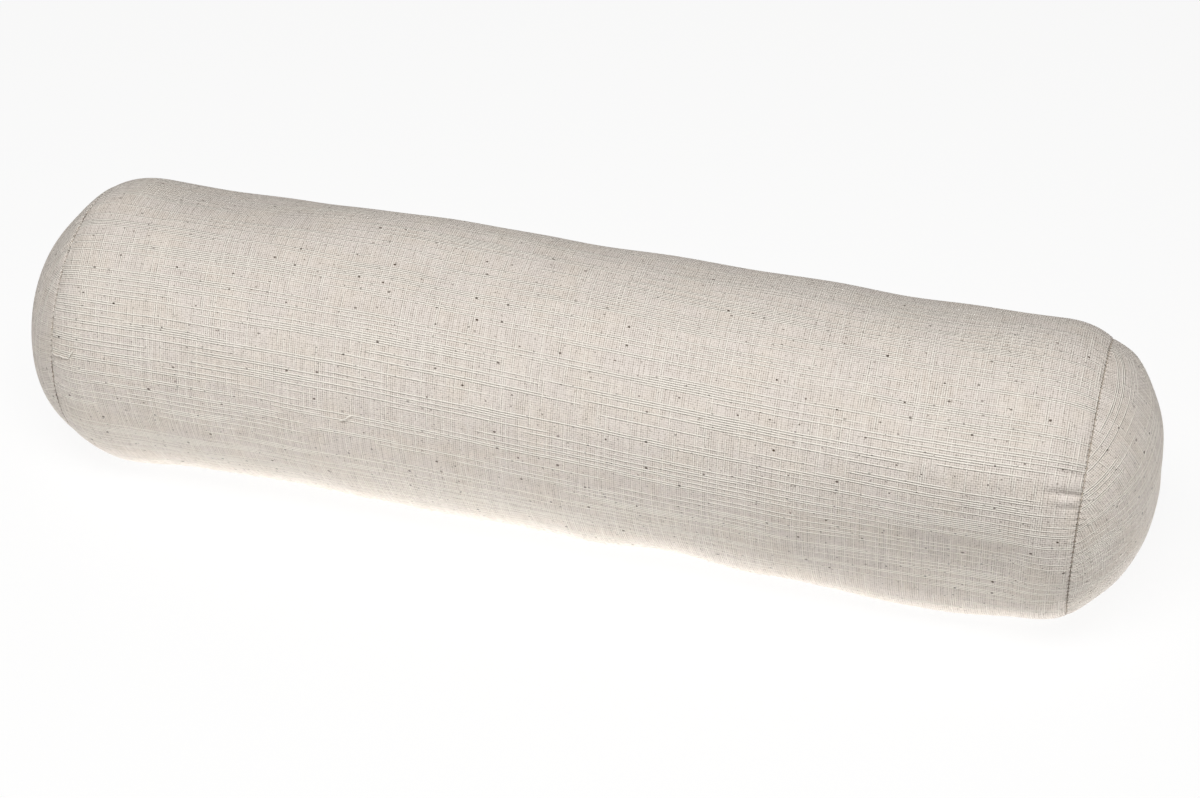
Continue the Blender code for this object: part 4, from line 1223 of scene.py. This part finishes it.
def single_tooth(side, pitch):
    """One tooth round the zip's centre line, already turned to the zip's slope."""
    reach = RAIL_INNER - 0.0003
    root = pitch / 4 - 0.00035
    head = pitch / 4 + 0.00012
    corner = 0.0003
    outline = [
        (-root, RAIL_INNER + 0.0002),
        (-root, 0.0006),
        (-head, -0.0005),
        (-head, -reach + corner),
        (-head + corner, -reach),
    ]
    outline += [(-x, y) for x, y in reversed(outline)]
    work = bmesh.new()
    half = TOOTH_THICKNESS / 2
    flat = [work.verts.new((x, side * y, -half)) for x, y in outline]
    face = work.faces.new(flat)
    grown = bmesh.ops.extrude_face_region(work, geom=[face])
    raised = [v for v in grown["geom"] if isinstance(v, bmesh.types.BMVert)]
    bmesh.ops.translate(work, verts=raised, vec=(0, 0, 2 * half))
    bmesh.ops.recalc_face_normals(work, faces=work.faces)
    rims = [e for e in work.edges if e.is_manifold and e.calc_face_angle(0) > math.radians(50)]
    bmesh.ops.bevel(work, geom=rims, offset=0.00022, segments=1, affect="EDGES")
    origin = zip_point(0, 0, 0)
    across = zip_point(0, 1, 0) - origin
    out = zip_point(0, 0, 1) - origin
    turn = Matrix(((1, 0, 0), across, out)).transposed()
    bmesh.ops.rotate(work, verts=work.verts, cent=(0, 0, 0), matrix=turn)
    return put("tooth", mesh_from(work, "tooth"))


def join_rail(obj, side, start, end, acetal):
    """The moulded rail that the teeth stand on, over the tape's edge."""
    work = bmesh.new()
    work.from_mesh(obj.data)
    half = TOOTH_THICKNESS / 2
    inner = side * RAIL_INNER
    outer = side * RAIL_OUTER
    bevel = 0.00025
    section = [
        (inner, -half), (outer - side * bevel, -half), (outer, -half + bevel),
        (outer, half - bevel), (outer - side * bevel, half), (inner, half),
    ]
    rings = []
    for x in (start, end):
        rings.append([work.verts.new(zip_point(x, y, z)) for y, z in section])
    made = [work.faces.new(rings[0]), work.faces.new(rings[1][::-1])]
    for i in range(len(section)):
        after = (i + 1) % len(section)
        made.append(work.faces.new((rings[0][i], rings[1][i], rings[1][after], rings[0][after])))
    bmesh.ops.recalc_face_normals(work, faces=made)
    work.to_mesh(obj.data)
    work.free()
    dress(obj.data, acetal)


class BOLSTER_OT_zip_teeth(bpy.types.Operator):
    """Mould the two rows of teeth that lock between each other"""

    bl_idname = "bolster.zip_teeth"
    bl_label = "Zip teeth"

    def execute(self, context):
        pitch = context.scene.bolster_zip.tooth_pitch
        acetal = paint_named("moulded_acetal", moulded_acetal)
        low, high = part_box("zip_teeth_upper")
        count = int(round((high.x - low.x) / pitch - 0.25))
        for side, name in ROWS:
            tooth = single_tooth(side, pitch)
            first = low.x + pitch * (0.25 if side < 0 else 0.75)
            mesh = bpy.data.meshes.new("tooth_path")
            last = first + (count - 1) * pitch
            ends = [zip_point(first, 0, 0), zip_point(last + pitch * 0.01, 0, 0)]
            mesh.from_pydata([tuple(p) for p in ends], [(0, 1)], [])
            obj = put("acetal_teeth_" + name, mesh)
            modifier = obj.modifiers.new("Teeth", "NODES")
            modifier.node_group = bpy.data.node_groups.get("Zip teeth") or tooth_tree()
            set_inputs(modifier, Tooth=tooth, Pitch=pitch, Acetal=acetal)
            settle(obj)
            bpy.data.objects.remove(tooth, do_unlink=True)
            join_rail(obj, side, low.x, high.x, acetal)
            attach(obj, "bolster", "teeth", "zip_teeth_" + name)
        return {"FINISHED"}


def refined_copy(name, node, paint, edge):
    """A piece from a frame node's own shape, with its edges rounded."""
    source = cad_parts[node].data
    work = bmesh.new()
    work.from_mesh(source)
    bmesh.ops.remove_doubles(work, verts=work.verts, dist=0.00001)
    bmesh.ops.dissolve_limit(work, angle_limit=math.radians(2), verts=work.verts, edges=work.edges)
    obj = piece_from(name, mesh_from(work, name), paint)
    rounding = obj.modifiers.new("Rounded edges", "BEVEL")
    rounding.width = edge
    rounding.segments = 2
    rounding.limit_method = "ANGLE"
    rounding.angle_limit = math.radians(35)
    rounding.use_clamp_overlap = True
    settle(obj)
    obj.data.shade_smooth()
    obj.data.set_sharp_from_angle(angle=math.radians(50))
    return obj


class BOLSTER_OT_zip_metal(bpy.types.Operator):
    """Finish the brass: the slider, its pull and the stops"""

    bl_idname = "bolster.zip_metal"
    bl_label = "Zip metal"

    def execute(self, context):
        brass = paint_named("aged_brass", aged_brass)
        pieces = (
            ("brass_slider", "zip_slider", "slider", 0.00018),
            ("brass_pull", "zip_pull", "pull", 0.00025),
            ("brass_top_stop_upper", "zip_top_stop_upper", "bolster", 0.00020),
            ("brass_top_stop_lower", "zip_top_stop_lower", "bolster", 0.00020),
            ("brass_bottom_stop", "zip_bottom_stop", "bolster", 0.00020),
        )
        for name, node, body, edge in pieces:
            obj = refined_copy(name, node, brass, edge)
            attach(obj, body, "brass", node)
        return {"FINISHED"}


class BOLSTER_OT_zip_tapes(bpy.types.Operator):
    """Weave the zip's two tapes"""

    bl_idname = "bolster.zip_tapes"
    bl_label = "Zip tapes"

    def execute(self, context):
        tape = paint_named("woven_zip_tape", woven_tape)
        for node in ("zip_tape_upper", "zip_tape_lower"):
            dress(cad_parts[node].data, tape)
        return {"FINISHED"}


# The stage

def soft_light(name, size, power, place, target, tint):
    data = bpy.data.lights.new(name, "AREA")
    data.shape = "RECTANGLE"
    data.size = size[0]
    data.size_y = size[1]
    data.energy = power
    data.color = tint
    obj = put(name, data)
    obj.location = place
    obj.rotation_euler = (Vector(target) - Vector(place)).to_track_quat("-Z", "Y").to_euler()


def seen_directly(tree):
    """1 for what the camera sees, also by reflection or through glass, and 0 for light on the object."""
    rays = add(tree, "LightPath")
    seen = rays["Is Camera Ray"]
    for kind in ("Is Glossy Ray", "Is Transmission Ray"):
        seen = add(tree, "Math", {0: seen, 1: rays[kind]}, operation="MAXIMUM")[0]
    return seen


def table_paint(tint):
    """White laminate table, near white to the camera, whose glow lights the bolster as painted light, as a
    bright photographer's table throws light back up: most beside the bolster.

    Before the right end, and towards the left one, it glows less.
    """
    paint, tree = new_material("white_table_laminate")
    seen = seen_directly(tree)
    place = add(tree, "TexCoord")["Object"]
    grain = add(tree, "TexNoise", {"Vector": place, "Scale": 3.0})
    level = add(tree, "MapRange", {"Value": grain[0], "To Min": 0.985, "To Max": 1.0})[0]
    base = add(tree, "VectorMath", {0: tuple(tint), "Scale": level}, operation="SCALE")[0]
    matt = add(tree, "BsdfDiffuse", {"Color": base})[0]

    # The far table glows, a painted light on the bolster, but for a patch before the right end, and a strip
    # right beside the bolster glows more
    reach = add(tree, "VectorMath", {0: place, 1: DIM_PATCH}, operation="DISTANCE")["Value"]
    span = {"Value": reach, "From Min": 0.33, "From Max": 0.62, "To Max": 0.57 * TABLE_LIGHT}
    painted_glow = add(tree, "MapRange", span, interpolation_type="SMOOTHSTEP")[0]
    along, depth = add(tree, "SeparateXYZ", {0: place})[:2]
    across = add(tree, "Math", {0: depth}, operation="ABSOLUTE")[0]
    nearest = 1.25 * TABLE_LIGHT
    span = {"Value": across, "From Min": 0.11, "From Max": 0.15, "To Min": nearest, "To Max": 0.0}
    beside = add(tree, "MapRange", span)[0]
    span = {"Value": along, "From Min": -0.42, "From Max": -0.04, "To Min": 0.66, "To Max": 1.05}
    left = add(tree, "MapRange", span)[0]
    behind = add(tree, "MapRange", {"Value": depth, "From Max": 0.25, "To Min": 1.0, "To Max": 1.6})[0]
    painted_glow = add(tree, "Math", {0: painted_glow, 1: behind, 2: beside}, operation="MULTIPLY_ADD")[0]
    painted_glow = add(tree, "Math", {0: painted_glow, 1: left}, operation="MULTIPLY")[0]
    # Painted glow on the bolster for the other rays, plain white to the camera
    strength = add(tree, "Mix", {0: seen, 2: painted_glow, 3: 1.0}, data_type="FLOAT")[0]
    glow = add(tree, "Emission", {"Color": (1, 1, 1, 1), "Strength": strength})[0]
    share = add(tree, "MapRange", {"Value": seen, "To Min": 0.5, "To Max": 0.88})[0]
    mixed = add(tree, "MixShader", {0: share, 1: matt, 2: glow})[0]
    add(tree, "OutputMaterial", {"Surface": mixed})
    return paint


def studio_world():
    """Dim, even room light round the lamps, and plain white to the camera."""
    world = bpy.data.worlds.new("studio")
    bpy.context.scene.world = world
    world.use_nodes = True
    tree = world.node_tree
    tree.nodes.clear()
    room = add(tree, "Background", {"Color": (*linear("#FDFBF8"), 1), "Strength": ROOM_LIGHT})[0]
    plain = add(tree, "Background", {"Color": (1, 1, 1, 1), "Strength": 1.0})[0]
    mixed = add(tree, "MixShader", {0: seen_directly(tree), 1: room, 2: plain})[0]
    add(tree, "OutputWorld", {"Surface": mixed})


def lay_table(setting):
    work = bmesh.new()
    bmesh.ops.create_grid(work, x_segments=8, y_segments=8, size=6)
    bmesh.ops.translate(work, verts=work.verts, vec=(0, 0, -0.0002))
    piece_from("table", mesh_from(work, "table"), table_paint(setting.floor))


def set_camera(context, setting):
    rise = setting.elevation
    turn = setting.turn
    back = Vector((math.sin(turn) * math.cos(rise), -math.cos(turn) * math.cos(rise), math.sin(rise)))
    right = (-back).cross(Vector((0, 0, 1))).normalized()
    up = right.cross(-back)
    target = Vector((0, 0, AXIS_HEIGHT)) + right * AIM_RIGHT - up * AIM_DOWN
    data = bpy.data.cameras.new("photo_camera")
    data.sensor_width = 36
    data.lens = setting.lens
    data.clip_start = 0.05
    obj = put("photo_camera", data)
    obj.location = target + back * setting.distance
    obj.rotation_euler = Matrix((right, up, back)).transposed().to_euler()
    context.scene.camera = obj


class BOLSTER_OT_stage(bpy.types.Operator):
    """Set the table, the soft studio light and the camera"""

    bl_idname = "bolster.stage"
    bl_label = "Stage"

    def execute(self, context):
        setting = context.scene.bolster_stage
        lay_table(setting)
        studio_world()
        middle = (0.0, 0.0, AXIS_HEIGHT)
        soft_light("key", (1.6, 0.9), setting.key, (0.15, -1.05, 2.05), middle, linear("#FFFEFD"))
        soft_light("low_back", (1.6, 0.7), setting.back, (-0.20, 2.20, 0.55), middle, linear("#FFFEFD"))
        set_camera(context, setting)
        context.scene.view_settings.view_transform = "Standard"
        return {"FINISHED"}


# The add-on

STEPS = (
    BOLSTER_OT_cover_body,
    BOLSTER_OT_cover_ends,
    BOLSTER_OT_inner_bag,
    BOLSTER_OT_end_seams,
    BOLSTER_OT_loose_threads,
    BOLSTER_OT_zip_tapes,
    BOLSTER_OT_zip_teeth,
    BOLSTER_OT_zip_metal,
    BOLSTER_OT_zip_sewing,
    BOLSTER_OT_stage,
)

SETTINGS = {
    "bolster_cloth": BolsterClothSettings,
    "bolster_sewing": BolsterSewingSettings,
    "bolster_zip": BolsterZipSettings,
    "bolster_stage": BolsterStageSettings,
}


class BOLSTER_PT_making(bpy.types.Panel):
    """The bolster's settings and the steps of its making"""

    bl_idname = "BOLSTER_PT_making"
    bl_label = "Yoga bolster"
    bl_space_type = "VIEW_3D"
    bl_region_type = "UI"
    bl_category = "Bolster"

    def draw(self, context):
        for name, group in SETTINGS.items():
            box = self.layout.box()
            for key in group.__annotations__:
                box.prop(getattr(context.scene, name), key)
        for step in STEPS:
            self.layout.operator(step.bl_idname)


def register():
    for name, group in SETTINGS.items():
        bpy.utils.register_class(group)
        setattr(bpy.types.Scene, name, bpy.props.PointerProperty(type=group))
    for step in STEPS:
        bpy.utils.register_class(step)
    bpy.utils.register_class(BOLSTER_PT_making)


def unregister():
    bpy.utils.unregister_class(BOLSTER_PT_making)
    for step in reversed(STEPS):
        bpy.utils.unregister_class(step)
    for name, group in SETTINGS.items():
        delattr(bpy.types.Scene, name)
        bpy.utils.unregister_class(group)


def main():
    register()
    for step in STEPS:
        group, action = step.bl_idname.split(".")
        getattr(getattr(bpy.ops, group), action)()


if __name__ == "__main__":
    main()
